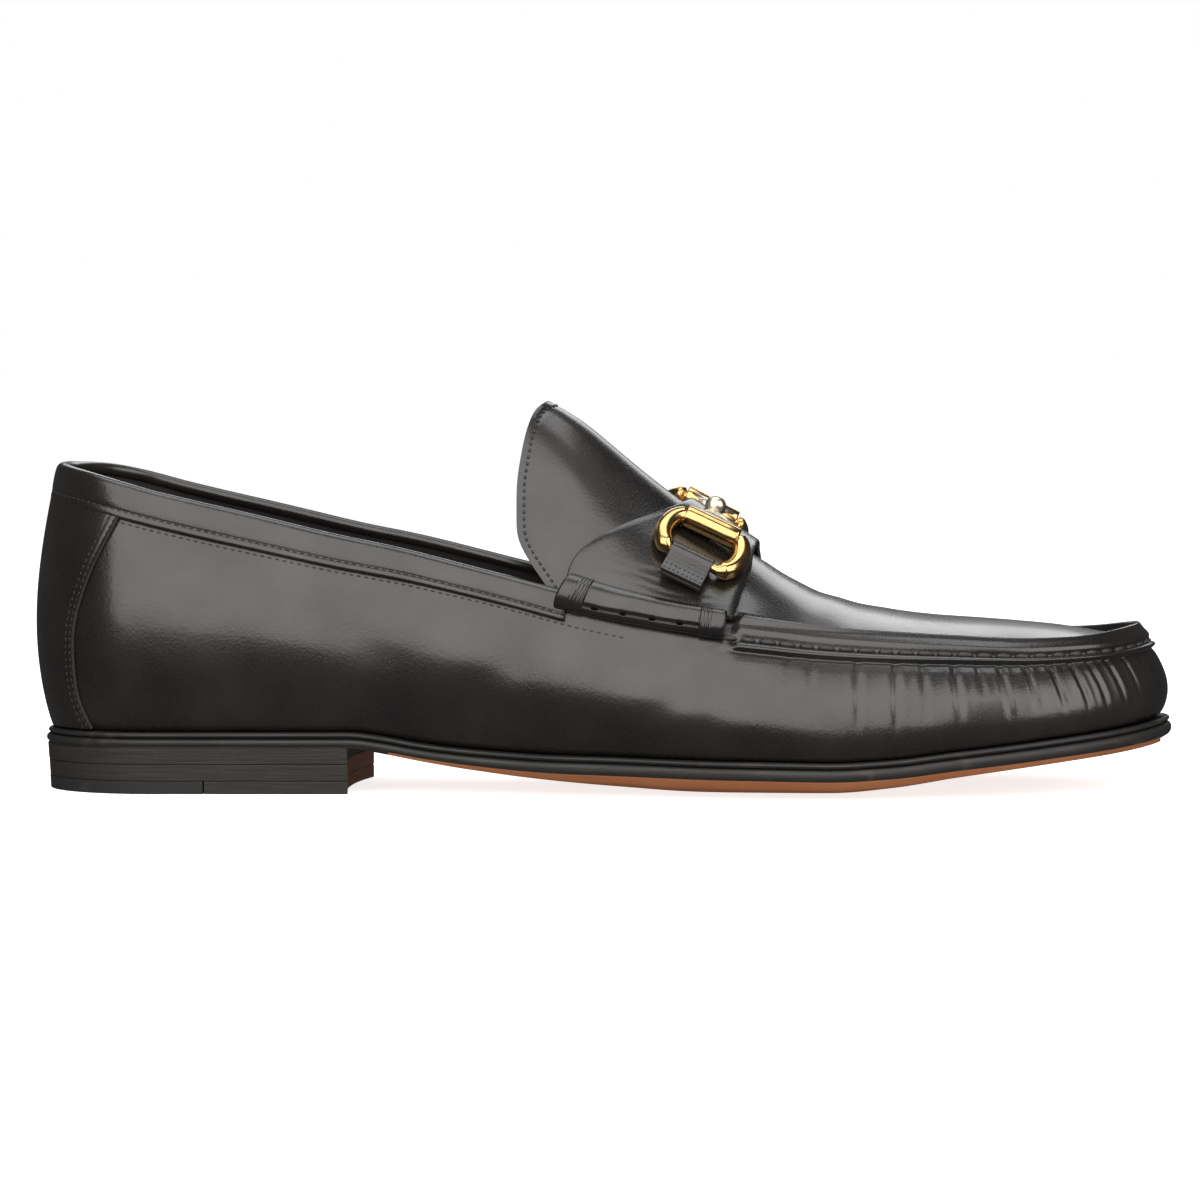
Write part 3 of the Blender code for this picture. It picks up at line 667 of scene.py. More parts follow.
calf = calfFinish()
waxedEdge = edgeFinish()
heelLeather = heelFinish("heelLeather", (0.009, 0.0085, 0.008), (0.022, 0.018, 0.015))
heelBreast = heelFinish("rawHeelLeather", (0.055, 0.020, 0.010), (0.11, 0.042, 0.020))
tanLeather = tanFinish()
heelRubber = rubberFinish()
lining = liningFinish()
rawEdge = fibreFinish(
    "cutLeatherEdge", 0.3, 2200.0, 3.0, (0.010, 0.009, 0.009), (0.045, 0.038, 0.034), (0.6, 0.8), 0.0002
)
thread = fibreFinish(
    "blackThread", 0.5, 3200.0, 2.0, (0.008, 0.008, 0.008), (0.030, 0.028, 0.027), (0.38, 0.55), 0.0001
)
gold = metalFinish("yellowGold", (0.70, 0.47, 0.20), (0.56, 0.35, 0.13), (0.13, 0.22))
paleGold = metalFinish("paleGold", (0.74, 0.69, 0.58), (0.62, 0.56, 0.45), (0.30, 0.38))
print("finishes made")


stitchSockets = (
    ("Path", "Geometry"), ("Pitch", "Float"), ("Length", "Float"), ("Width", "Float"), ("Height", "Float"),
    ("Seed", "Int"), ("Thread", "Material"),
)
stitchGrain = {
    "shape": {"Segments": 8, "Rings": 5, "Radius": 0.5},
    "least": (0.88, 0.92, 0.85),
    "most": (1.08, 1.08, 1.1),
}


def stitchTree():
    tree = bpy.data.node_groups.new("stitchRow", "GeometryNodeTree")
    for name, kind in stitchSockets:
        tree.interface.new_socket(name, in_out="INPUT", socket_type="NodeSocket" + kind)
    tree.interface.new_socket("Stitches", in_out="OUTPUT", socket_type="NodeSocketGeometry")
    bench = NodeBench(tree)
    entry = tree.nodes.new("NodeGroupInput")
    given = {name: Wire(bench, entry.outputs[name]) for name, _ in stitchSockets}

    path = bench.node("GeometryNodeMeshToCurve", inputs={"Mesh": given["Path"]})
    spacing = {"Curve": path, "Length": given["Pitch"]}
    points = bench.node("GeometryNodeResampleCurve", {"mode": "LENGTH"}, spacing)
    tangent = bench.node("GeometryNodeInputTangent")
    out = bench.node("GeometryNodeInputNamedAttribute", {"data_type": "FLOAT_VECTOR"}, {"Name": "out"})
    axes = {"primary_axis": "X", "secondary_axis": "Z"}
    turned = bench.node("FunctionNodeAxesToRotation", axes, {"Primary Axis": tangent, "Secondary Axis": out})
    grain = bench.node("GeometryNodeMeshUVSphere", inputs=stitchGrain["shape"], output="Mesh")
    lengths = {0: given["Length"], 1: given["Width"], 2: given["Height"]}
    size = bench.node("ShaderNodeCombineXYZ", inputs=lengths)
    limits = {"Min": stitchGrain["least"], "Max": stitchGrain["most"], "Seed": given["Seed"]}
    vary = bench.node("FunctionNodeRandomValue", {"data_type": "FLOAT_VECTOR"}, limits)
    scale = bench.node("ShaderNodeVectorMath", {"operation": "MULTIPLY"}, {0: size, 1: vary})
    layout = {"Points": points, "Instance": grain, "Rotation": turned, "Scale": scale}
    placed = bench.node("GeometryNodeInstanceOnPoints", inputs=layout)
    solid = bench.node("GeometryNodeRealizeInstances", inputs={"Geometry": placed})
    smooth = bench.node("GeometryNodeSetShadeSmooth", inputs={"Geometry": solid})
    finish = {"Geometry": smooth, "Material": given["Thread"]}
    sewn = bench.node("GeometryNodeSetMaterial", inputs=finish)
    tree.links.new(sewn.socket, tree.nodes.new("NodeGroupOutput").inputs["Stitches"])
    return tree


stitching = stitchTree()


def sew(name, paths, sizes, seed):
    # paths: (points, outward directions) of each row; sizes: pitch, length, width, height
    points = np.concatenate([row for row, _ in paths])
    outs = np.concatenate([out for _, out in paths])
    edges = []
    start = 0
    for row, _ in paths:
        edges += [(start + i, start + i + 1) for i in range(len(row) - 1)]
        start += len(row)
    mesh = bpy.data.meshes.new(name)
    mesh.from_pydata(points.tolist(), edges, [])
    attribute = mesh.attributes.new("out", "FLOAT_VECTOR", "POINT")
    attribute.data.foreach_set("vector", outs.ravel())
    guide = addObject(name + "Guide", mesh)
    modifier = guide.modifiers.new("stitches", "NODES")
    modifier.node_group = stitching
    values = dict(zip(("Pitch", "Length", "Width", "Height"), sizes), Seed=seed, Thread=thread)
    for item in stitching.interface.items_tree:
        if item.in_out == "INPUT" and item.name in values:
            modifier[item.identifier] = values[item.name]
    graph = bpy.context.evaluated_depsgraph_get()
    sewn = bpy.data.meshes.new_from_object(guide.evaluated_get(graph), depsgraph=graph)
    bpy.data.objects.remove(guide)
    for layer in [layer for layer in sewn.attributes if layer.name == "out"]:
        sewn.attributes.remove(layer)
    if not sewn.materials:
        sewn.materials.append(thread)
    piece = addObject(name, sewn)
    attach(piece, "root")


upperLook = {
    "columns": 620,
    "wallRows": 22,
    "bandRows": 34,
    "bandFoot": 0.74,
    "lipDepth": 0.0012,
    "rollHeight": 0.0022,
    "rollHalf": 0.0012,
    "rollRows": 7,
    "apronRows": 40,
    "stitchAt": 0.900,
    "frontDense": 3.6,
    "denseFrom": (0.24, 0.30),
    "tipRise": 0.35,
    "tipStations": (0.93, 0.99),
    "easeReach": 0.0015,
    "easeLeastHalf": 0.004,
    "smoothRounds": 24,
    "smoothShare": 0.4,
}
# Shape of a pucker: shares of the listed width and depth, its two ridges, and where it fades out
puckerShape = {
    "width": 0.45,
    "depth": 0.8,
    "ridge": 0.42,
    "ridgeAt": 1.9,
    "leanFrom": 0.8,
    "footFade": (0.18, 0.20),
    "topFade": (0.80, 0.84),
}
# Height of the ridge beside a dent or a crease, and its distance in widths
ridgeBeside = {"dent": (0.35, 2), "crease": (0.4, 1.8), "wrinkle": (0.5, 1.7)}
# Height of the raised band under the seam: share of the wall, share of the lip's depth
bandRows = ((0.74, 0.0), (0.790, -0.12), (0.818, -0.28), (0.826, 0.80), (0.836, 1.05), (0.858, 0.95),
            (0.880, 0.40), (0.898, 0.02), (0.912, 0.30), (0.934, 0.85), (0.960, 1.10), (1.000, 1.05))
# Height of the roll between wall and apron: share of its width, share of its height
rollRows = ((0.0, 0.50), (0.22, 0.86), (0.45, 1.0), (0.66, 0.84), (0.84, 0.36), (1.0, 0.05))
# Puckers under the seam: station, lean in metres over the wall, depth, half width, lower end
puckersOuter = (
    (0.608, 0.000, 0.00030, 0.0020, 0.45),
    (0.668, 0.001, 0.00022, 0.0022, 0.52),
    (0.690, 0.000, 0.00025, 0.0020, 0.48),
    (0.732, 0.000, 0.00042, 0.0020, 0.34),
    (0.765, 0.000, 0.00048, 0.0021, 0.30),
    (0.789, 0.001, 0.00034, 0.0018, 0.45),
    (0.818, 0.001, 0.00042, 0.0020, 0.40),
    (0.840, 0.001, 0.00026, 0.0017, 0.55),
    (0.860, 0.002, 0.00042, 0.0018, 0.38),
    (0.884, 0.002, 0.00040, 0.0017, 0.42),
    (0.906, 0.003, 0.00044, 0.0017, 0.34),
    (0.925, 0.004, 0.00044, 0.0016, 0.30),
    (0.941, 0.004, 0.00040, 0.0015, 0.32),
    (0.957, 0.004, 0.00036, 0.0015, 0.34),
    (0.972, 0.003, 0.00032, 0.0014, 0.38),
    (0.986, 0.002, 0.00028, 0.0014, 0.42),
)
puckersInner = (
    (0.622, 0.000, 0.00028, 0.0020, 0.48),
    (0.676, 0.001, 0.00026, 0.0021, 0.50),
    (0.716, 0.000, 0.00036, 0.0020, 0.40),
    (0.752, 0.001, 0.00042, 0.0020, 0.36),
    (0.781, 0.001, 0.00036, 0.0018, 0.42),
    (0.808, 0.001, 0.00044, 0.0019, 0.36),
    (0.834, 0.002, 0.00030, 0.0017, 0.50),
    (0.858, 0.002, 0.00042, 0.0018, 0.38),
    (0.881, 0.003, 0.00038, 0.0017, 0.42),
    (0.903, 0.003, 0.00042, 0.0016, 0.34),
    (0.923, 0.004, 0.00040, 0.0016, 0.32),
    (0.942, 0.004, 0.00038, 0.0015, 0.34),
    (0.960, 0.003, 0.00034, 0.0015, 0.36),
    (0.978, 0.002, 0.00028, 0.0014, 0.42),
)
# Soft dents in the walls: station, height on the wall, half length, half width, slope, depth
dentsOuter = (
    (0.175, 0.62, 0.030, 0.007, 0.10, 0.00030),
    (0.290, 0.48, 0.026, 0.006, -0.35, 0.00034),
    (0.375, 0.70, 0.022, 0.005, -0.30, 0.00030),
    (0.420, 0.44, 0.020, 0.005, 0.80, 0.00036),
    (0.520, 0.62, 0.018, 0.004, -0.35, 0.00030),
    (0.570, 0.38, 0.016, 0.004, 0.70, 0.00032),
    (0.640, 0.55, 0.014, 0.004, 0.90, 0.00028),
    (0.700, 0.33, 0.018, 0.004, -0.20, 0.00020),
)
dentsInner = (
    (0.210, 0.58, 0.028, 0.007, 0.15, 0.00030),
    (0.330, 0.55, 0.024, 0.006, -0.30, 0.00036),
    (0.440, 0.60, 0.022, 0.005, 0.60, 0.00034),
    (0.540, 0.45, 0.018, 0.004, -0.45, 0.00032),
    (0.620, 0.55, 0.016, 0.004, 0.80, 0.00030),
    (0.705, 0.40, 0.016, 0.004, -0.25, 0.00024),
)
# Creases over the apron: station, half width along the shoe, depth, how far they bow forward
apronCreases = (
    (0.652, 0.0022, 0.00022, 0.012),
    (0.682, 0.0030, 0.00028, 0.016),
    (0.716, 0.0034, 0.00020, 0.018),
)


def seamLine(v):  # distance along the wall from the heel's back, for both sides, at height v
    turns = np.linspace(0, 0.5, 1601)
    lengths = []
    for side in (turns, 1 - turns):
        points = wall(side, v)
        steps = np.linalg.norm(np.diff(points, axis=0), axis=-1)
        lengths.append(np.concatenate([[0], np.cumsum(steps)]))
    return turns, lengths


seamTurns, seamLengths = seamLine(upperLook["stitchAt"])


def seamDistance(turn):
    folded = np.where(isInner(turn), 1 - turn % 1, turn % 1)
    outer = np.interp(folded, seamTurns, seamLengths[0])
    inner = np.interp(folded, seamTurns, seamLengths[1])
    return np.where(isInner(turn), inner, outer)


def wallRelief(turn, v):
    # Band and lip under the seam, puckers and soft dents, as an offset along the normal
    s = stationOf(turn)
    inner = isInner(turn)
    seamed = fade(s, last["seamStart"], last["seamFull"])
    band = np.interp(v, *zip(*bandRows))
    relief = upperLook["lipDepth"] * band * seamed
    distance = seamDistance(turn)
    shape = puckerShape
    for side, rows in ((False, puckersOuter), (True, puckersInner)):
        mask = inner == side
        for station, lean, depth, width, foot in rows:
            centre = float(seamDistance(turnOn(station, side)))
            away = (distance - centre - lean * (shape["leanFrom"] - v)) / (width * shape["width"])
            reach = fade(v, foot - shape["footFade"][0], foot + shape["footFade"][1])
            reach = reach * (1 - fade(v, *shape["topFade"]))
            ridges = hump(away, shape["ridgeAt"], 1) + hump(away, -shape["ridgeAt"], 1)
            groove = -hump(away, 0, 1) + shape["ridge"] * ridges
            relief = relief + mask * shape["depth"] * depth * groove * reach
    ridge, ridgeAt = ridgeBeside["dent"]
    for side, rows in ((False, dentsOuter), (True, dentsInner)):
        mask = inner == side
        for station, height, long, wide, slope, depth in rows:
            at = turnOn(station, side)
            x = distance - float(seamDistance(at))
            z = (v - height) * float(wallHeight(at))
            tilt = math.atan(slope)
            along = x * math.cos(tilt) + z * math.sin(tilt)
            across = z * math.cos(tilt) - x * math.sin(tilt)
            dent = -hump(across, 0, wide) + ridge * hump(across, ridgeAt * wide, wide)
            relief = relief + mask * depth * dent * hump(along, 0, long)
    return relief


def denseTurns(columns):  # columns stand closer together in the front half, where the pleats are
    turns = np.linspace(0, 0.5, 2001)
    weight = 1 + (upperLook["frontDense"] - 1) * fade(turns, *upperLook["denseFrom"])
    total = np.concatenate([[0], np.cumsum((weight[1:] + weight[:-1]) / 2)])
    half = np.interp(np.arange(columns // 2) / (columns // 2), total / total[-1], turns)
    return np.concatenate([half, [0.5], 1 - half[:0:-1]])


def makeUpper():
    look = upperLook
    turns = denseTurns(look["columns"])
    low = np.linspace(0, look["bandFoot"], look["wallRows"])[:-1]
    rows = np.concatenate([low, np.linspace(look["bandFoot"], 1, look["bandRows"])])
    base = wall(turns[None, :], rows[:, None])
    relief = wallRelief(*np.broadcast_arrays(turns[None, :], rows[:, None]))

    insets = np.linspace(0, 2 * look["rollHalf"], look["rollRows"] + 1)[1:]
    s = stationOf(turns)
    half = np.linalg.norm(topEdge(turns) - topEdge(1 - turns), axis=-1) / 2
    half = np.maximum(half, last["apronLeastHalf"])
    roll = topEdge(turns)[None] + inward(turns)[None] * insets[:, None, None]
    crown = np.maximum(last["instepHeight"] * ridgeHeight(s)[None] - roll[..., 2], 0)
    roll[..., 2] += crown * (1 - (1 - insets[:, None] / half[None]) ** ridgePower(s)[None])
    height = np.interp(insets / (2 * look["rollHalf"]), *zip(*rollRows))
    seamed = fade(s, last["seamStart"], last["seamFull"])
    tip = 1 + look["tipRise"] * fade(s, *look["tipStations"])
    rollRelief = look["rollHeight"] * height[:, None] * (seamed * tip)[None]

    skin = np.concatenate([base, roll])
    normals = gridNormals(skin, True)
    raised = np.concatenate([relief, rollRelief])
    outer = skin + normals * raised[..., None]
    inner = skin - normals * last["leather"]
    inner[0] = skin[0] + inward(turns) * last["leather"]

    total = len(rows) + len(insets)
    columns = look["columns"]
    first = int(np.argmin(np.abs(turns - float(turnOf(last["apronStart"])))))
    faces = gridFaces(len(rows), columns, True)
    for r in range(len(rows) - 1, total - 1):
        for c in range(first, columns - first):
            a = r * columns + c
            faces.append([a, a + 1, a + 1 + columns, a + columns])

    # The apron between the two sides of the roll, from under the strap to the toe
    middle = columns // 2
    here = np.arange(first, middle + 1)
    there = (columns - here) % columns
    left = outer[-1, here]
    right = outer[-1, there]
    k = np.linspace(0, 1, look["apronRows"] + 1)
    grid = left[:, None] + (right - left)[:, None] * k[None, :, None]
    w = 2 * k[None] - 1
    at = stationAt(grid)
    halfHere = half[here, None]
    apronHeight = instep(at, w * (1 - 2 * look["rollHalf"] / halfHere))[..., 2]
    ease = np.minimum(k, 1 - k)[None] * np.maximum(halfHere, look["easeLeastHalf"]) / look["easeReach"]
    soft = np.minimum(1, ease)
    grid[..., 2] = grid[..., 2] * (1 - soft) + apronHeight * soft
    ridge, ridgeAt = ridgeBeside["crease"]
    for station, width, depth, bow in apronCreases:
        centre = station + bow * (1 - w**2) / 2
        away = (at - centre) * last["soleLength"] / width
        crease = -hump(away, 0, 1) + ridge * hump(away, ridgeAt, 1)
        grid[..., 2] += depth * crease * (1 - np.abs(w) ** 4)
    for _ in range(look["smoothRounds"]):
        blurred = (grid[:-2, 1:-1] + grid[2:, 1:-1] + grid[1:-1, :-2] + grid[1:-1, 2:]) / 4
        grid[1:-1, 1:-1] = grid[1:-1, 1:-1] * (1 - look["smoothShare"]) + blurred * look["smoothShare"]
    apronNormals = gridNormals(grid)
    apronNormals = np.where(apronNormals[..., 2:] < 0, -apronNormals, apronNormals)
    apronNormals[-1] = apronNormals[-2]
    apronInner = grid - apronNormals * last["leather"]
    apronInner[:, 0] = inner[-1, here]
    apronInner[:, -1] = inner[-1, there]
    apronInner[-1] = inner[-1, middle]

    offset = total * columns
    apronFaces = gridFaces(grid.shape[0], grid.shape[1], start=offset)
    faces += [face[::-1] for face in apronFaces]
    points = np.concatenate([outer.reshape(-1, 3), grid.reshape(-1, 3)])
    insides = np.concatenate([inner.reshape(-1, 3), apronInner.reshape(-1, 3)])

    # Weld the apron's edges to the roll before the open edges are found
    weld = {}
    wide = look["apronRows"] + 1
    rollEdge = offset - columns
    for j in range(middle - first + 1):
        weld[offset + j * wide] = rollEdge + first + j
        weld[offset + (j + 1) * wide - 1] = rollEdge + (columns - first - j) % columns
    for index in range(wide):
        weld[offset + (middle - first) * wide + index] = rollEdge + middle
    welded = []
    for face in faces:
        corners = []
        for index in face:
            index = weld.get(index, index)
            if index not in corners:
                corners.append(index)
        if len(corners) > 2:
            welded.append(corners)
    back, rim = shellFaces(welded, len(points))
    indices = [0] * len(welded) + [1] * len(back) + [0] * len(rim)
    both = np.concatenate([points, insides])
    used = sorted({i for face in welded + back + rim for i in face})
    renumber = {old: new for new, old in enumerate(used)}
    allFaces = [[renumber[i] for i in face] for face in welded + back + rim]
    place(makePiece("leatherUpper", both[used], allFaces, [calf, lining], indices), "black_calf", "upper")
    print("upper made,", len(allFaces), "faces")


makeUpper()


apronStitch = {
    "sizes": (0.0050, 0.0046, 0.0015, 0.0013),
    "proud": 0.00016,
    "tip": 0.004,  # the turn that the row stops short of the toe
    "steps": 900,
    "seed": 4,
}


def seamRows():  # points just proud of the wall, with their outward way
    look = apronStitch
    v = upperLook["stitchAt"]
    first = turnOf(last["seamStart"])
    turns = first + (0.5 - first) * np.linspace(0, 1, look["steps"])
    rows = []
    for inner in (False, True):
        side = 1 - turns if inner else turns
        side = side[(side - 0.5) * (1 if inner else -1) > look["tip"]]
        normals = wallNormal(side, v)
        rows.append((wall(side, v) + normals * (wallRelief(side, v) + look["proud"])[..., None], normals))
    return rows


sew("apronStitches", seamRows(), apronStitch["sizes"], apronStitch["seed"])
print("apron stitched")

tongueLook = {
    "thickness": 0.0020,
    "tuck": 0.0032,
    "drop": 0.0040,
    "rows": 54,
    "across": 130,
    "stitchInset": 0.0020,
    "stitch": (0.0019, 0.0012, 0.0008, 0.0006),
    "groove": 0.00030,
    "grooveWidth": 0.0006,
    "edge": 0.0004,
    "crowding": (1.7, 1.25),  # powers that crowd the grid toward the free edge and the sides
    "probe": (0.003, 0.01),  # steps for its directions: station, share of the half width
    "bare": 4,  # points without a stitch at each end of the row
    "sunk": 0.00002,
}
# Columns: share of the half width, station of the free edge
tongueRows = ((0.00, 0.4530), (0.12, 0.4490), (0.34, 0.4385), (0.57, 0.4303), (0.72, 0.4268),
              (0.85, 0.4275), (0.91, 0.4385), (0.96, 0.4545), (1.00, 0.4630))
tongueBack = smoothColumn(tongueRows, 1, 0.02)


def edgeRow(edge, normals, inset, inside):
    # A row at a fixed distance from an edge of a surface, on the side of the point inside
    step = unit(np.cross(normals, unit(np.gradient(edge, axis=0)))) * inset
    middle = len(edge) // 2
    ahead, behind = (np.linalg.norm(row[middle] - inside) for row in (edge + step, edge - step))
    return edge + step if ahead < behind else edge - step


def distanceTo(row, points):
    return np.linalg.norm(points[:, :, None] - row[None, None], axis=-1).min(-1)


def makeTongue():
    look = tongueLook
    share = crowd(np.linspace(0, 1, look["rows"] + 1), look["crowding"][0])[:, None]
    w = crowd(np.linspace(-1, 1, look["across"] + 1), look["crowding"][1])[None, :]
    start = last["apronStart"]
    s = start + (tongueBack(np.abs(w)) - start) * share
    tuck, drop = look["tuck"], look["drop"]
    points = instep(s, w, tuck, drop)
    forwardStep, sideStep = look["probe"]
    forward = instep(s + forwardStep, w, tuck, drop) - points
    inner = instep(s, np.minimum(w + sideStep, 1), tuck, drop)
    sideways = inner - instep(s, np.maximum(w - sideStep, -1), tuck, drop)
    normals = unit(np.cross(forward, sideways))
    out = normals[-1]
    row = edgeRow(points[-1], out, look["stitchInset"], points[-8, look["across"] // 2])
    lift = -look["groove"] * hump(distanceTo(row[::2], points), 0, look["grooveWidth"])
    piece = layOn("tongueFlap", points, normals, -look["thickness"], 0.0, look["edge"], lift)
    place(piece, "black_calf", "tongue")
    kept = slice(look["bare"], -look["bare"])
    sew("tongueStitches", [(row[kept] - out[kept] * look["sunk"], out[kept])], look["stitch"], 7)


makeTongue()
print("tongue made")

bandLook = {
    "columns": 420,
    "end": 0.474,
    "stitch": (0.0020, 0.0013, 0.00045, 0.0004),
    "narrowing": 0.20,
    "narrowsFrom": 0.15,
}
# Rows of stitches: distance below the top line, out from the wall, station of the end, share of the relief
collarRows = ((0.0070, 0.00112, last["collarEnd"], 0), (0.0099, 0.00006, 0.524, 1))
# Section of the collar band: millimetres below the top line, and out from the wall
bandSection = (
    (9.0, 0.30), (9.08, 0.55), (9.0, 0.95), (8.75, 1.20), (8.3, 1.30), (7.6, 1.28), (7.25, 1.14),
    (7.0, 1.06), (6.75, 1.14), (6.4, 1.30), (5.0, 1.38), (3.4, 1.40), (1.8, 1.35), (0.8, 1.20),
    (0.1, 0.85), (-0.45, 0.30), (-0.75, -0.40), (-0.80, -1.00), (-0.65, -1.65), (-0.2, -2.25),
    (0.5, -2.55), (1.6, -2.60), (2.2, -2.50), (2.3, -2.25), (2.2, -2.06), (1.0, -2.06),
    (0.06, -2.05), (-0.04, -1.00), (-0.04, 0.08), (0.6, 0.12), (4.5, 0.12), (8.8, 0.16),
)


def wallOffset(turns, below, out):
    # Points given by their distance below the top line, as the band narrows, and out from the wall
    tall = wallHeight(turns)
    narrow = bandLook["narrowing"] * fade(stationOf(turns), bandLook["narrowsFrom"], last["collarEnd"])
    v = 1 - below * np.where(below > 0, 1 - narrow, 1) / tall
    normals = wallNormal(turns, np.clip(v, 0, 0.98))
    up = unit(topEdge(turns) - wall(turns, 0.9))
    over = np.maximum(-below, 0) * np.ones_like(turns)
    return wall(turns, np.minimum(v, 1)) + up * over[:, None] + normals * out, normals


def makeBand():
    look = bandLook
    front = float(turnOf(look["end"]))
    turns = np.linspace(-front, front, look["columns"] + 1)
    ring = [wallOffset(turns, below * 0.001, out * 0.001)[0] for below, out in bandSection]
    points = np.stack(ring, 1)
    count = len(bandSection)
    faces = gridFaces(len(turns), count, True)
    faces.append(list(range(count))[::-1])
    faces.append(list(range(len(turns) * count - count, len(turns) * count)))
    place(makePiece("collarBand", points, faces, [calf]), "black_calf", "collar_band")
    rows = []
    for below, out, station, share in collarRows:
        end = float(turnOf(station))
        kept = np.linspace(-end, end, look["columns"])
        row, normals = wallOffset(kept, below, out)
        relief = wallRelief(kept, 1 - below / wallHeight(kept)) * share
        rows.append((row + normals * relief[:, None], normals))
    sew("collarStitches", rows, look["stitch"], 11)


makeBand()
print("collar band made")

counterLook = {
    "up": 44,
    "around": 130,
    "low": 0.0002,
    "high": 0.0012,
    "foot": 0.010,
    "stitch": (0.0018, 0.0012, 0.00045, 0.0004),
    "rows": (0.0008, 0.0024),
    "groove": 0.00014,
    "grooveWidth": 0.0005,
    "below": 0.0088,  # distance of its upper edge below the top line, under the band
    "edge": 0.0003,
    "crowding": 1.5,
    "sunk": 0.00008,
}
# Columns: share of the wall's height, station of the front edge
counterRows = ((0.00, 0.050), (0.15, 0.042), (0.40, 0.043), (0.70, 0.056), (1.00, 0.079))
counterFront = smoothColumn(counterRows, 1, 0.05)


def makeCounter():
    look = counterLook
    share = np.linspace(0, 1, look["up"] + 1)[:, None]
    around = crowd(np.linspace(-1, 1, look["around"] + 1), look["crowding"])
    turns = turnOf(counterFront(share)) * around[None, :]
    v = look["foot"] + (1 - look["below"] / wallHeight(turns) - look["foot"]) * share
    points = wall(turns, v)
    normals = wallNormal(turns, v)
    rows = []
    lift = np.zeros(turns.shape)
    for column, inside in ((0, 10), (-1, -11)):  # each front edge, and a column inside it
        edge, out = points[:, column], normals[:, column]
        for inset in look["rows"]:
            row = edgeRow(edge, out, inset, points[look["up"] // 2, inside])
            lift -= look["groove"] * hump(distanceTo(row, points), 0, look["grooveWidth"])
            proud = row + out * (look["high"] - look["sunk"])
            rows.append((proud[1:-1], out[1:-1]))
    piece = layOn("heelCounter", points, normals, look["low"], look["high"], look["edge"], lift)
    place(piece, "black_calf", "heel_counter")
    sew("counterStitches", rows, look["stitch"], 13)


makeCounter()
print("counter made")

strapLook = {
    "bed": 0.0007,
    "thickness": 0.0019,
    "reach": 0.985,
    "across": 160,
    "along": 44,
    "edge": 0.0004,
    "wander": (0.0006, 9, 40),  # size of a wrinkle's bends, their pace along it, and their shift
    "spread": 1.3,
    "rim": (0.0004, 0.025),  # depth and reach of the pressed rim, the reach as a share of the width
}
# Columns: share of the half width, station of the rear and of the front edge
strapRows = ((0.00, 0.569, 0.6262), (0.17, 0.565, 0.6256), (0.37, 0.555, 0.6245), (0.53, 0.540, 0.625),
             (0.70, 0.515, 0.621), (0.81, 0.494, 0.618), (0.92, 0.476, 0.614), (1.00, 0.471, 0.6125))
# Wrinkles near the strap's ends: place across, middle along, half length, half width, depth
strapWrinkles = (
    (0.815, 0.66, 0.16, 0.0006, 0.00012),
    (0.842, 0.56, 0.22, 0.0005, 0.00014),
    (0.868, 0.66, 0.22, 0.0005, 0.00016),
    (0.893, 0.50, 0.26, 0.0005, 0.00015),
    (0.915, 0.62, 0.26, 0.0005, 0.00013),
    (0.850, 0.84, 0.08, 0.0006, 0.00012),
)
strapBack = smoothColumn(strapRows, 1, 0.02)
strapFront = smoothColumn(strapRows, 2, 0.02)


def makeStrap():
    look = strapLook
    w = look["reach"] * np.linspace(-1, 1, look["across"] + 1)[None, :]
    share = np.linspace(0, 1, look["along"] + 1)[:, None]
    s = strapBack(np.abs(w)) + (strapFront(np.abs(w)) - strapBack(np.abs(w))) * share
    points, _, normals = instepFrame(s, w)
    half = np.linalg.norm(topEdge(turnOf(s)) - topEdge(1 - turnOf(s)), axis=-1) / 2
    lift = np.zeros(points.shape[:2])
    bend, pace, shift = look["wander"]
    ridge, ridgeAt = ridgeBeside["wrinkle"]
    for where, middle, long, wide, depth in strapWrinkles:
        wander = bend * np.sin(pace * share + shift * where)
        away = ((np.abs(w) - where) * half * look["spread"] + wander) / wide
        crease = -hump(away, 0, 1) + ridge * hump(away, ridgeAt, 1)
        lift = lift + depth * crease * hump(share, middle, long)
    rimDepth, rimReach = look["rim"]
    lift = lift - rimDepth * hump(np.minimum(share, 1 - share), 0, rimReach)
    high = look["bed"] + look["thickness"]
    piece = layOn("saddleStrap", points, normals, look["bed"], high, look["edge"], lift)
    place(piece, "black_calf", "saddle_strap")


makeStrap()
print("strap made")

sideRollLook = {
    "start": 0.469,
    "end": 0.608,
    "height": 0.0100,
    "taper": 0.52,
    "thickness": 0.0039,
    "stand": 0.0009,
    "lean": 0.36,
    "leanEnds": (0.004, 0.016),
    "groove": 0.0007,
    "holes": (0.0098, 0.0164, 0.0236, 0.0304),
    "holeAngle": 2.36,
    "holeSize": 0.0008,
    "holeDepth": 0.0016,
    "holeFloor": 0.55,
    "rearBinding": 0.0072,
    "frontBinding": 0.0066,
    "bindingStep": 0.0006,
    "bindingEdge": 0.0004,
    "bindingSwell": 0.05,
    "wraps": ((0.0018, 0.0016), (0.0016, 0.0014)),  # middle before the binding's edge, half width
    "wrapGain": 1.6,
    "wrapRound": 0.00030,
    "wrapSink": 0.0004,
    "threadPitch": 0.0009,
    "swell": (0.00022, 0.0155),  # height and length of the soft waves
    "thinning": 0.16,
    "fullness": 0.8,
    "grooveWidth": 0.00045,
    "cap": (0.0009, 0.72),  # length of the rounded ends, and how far they shrink
    "marks": 260,
    "around": 64,
}


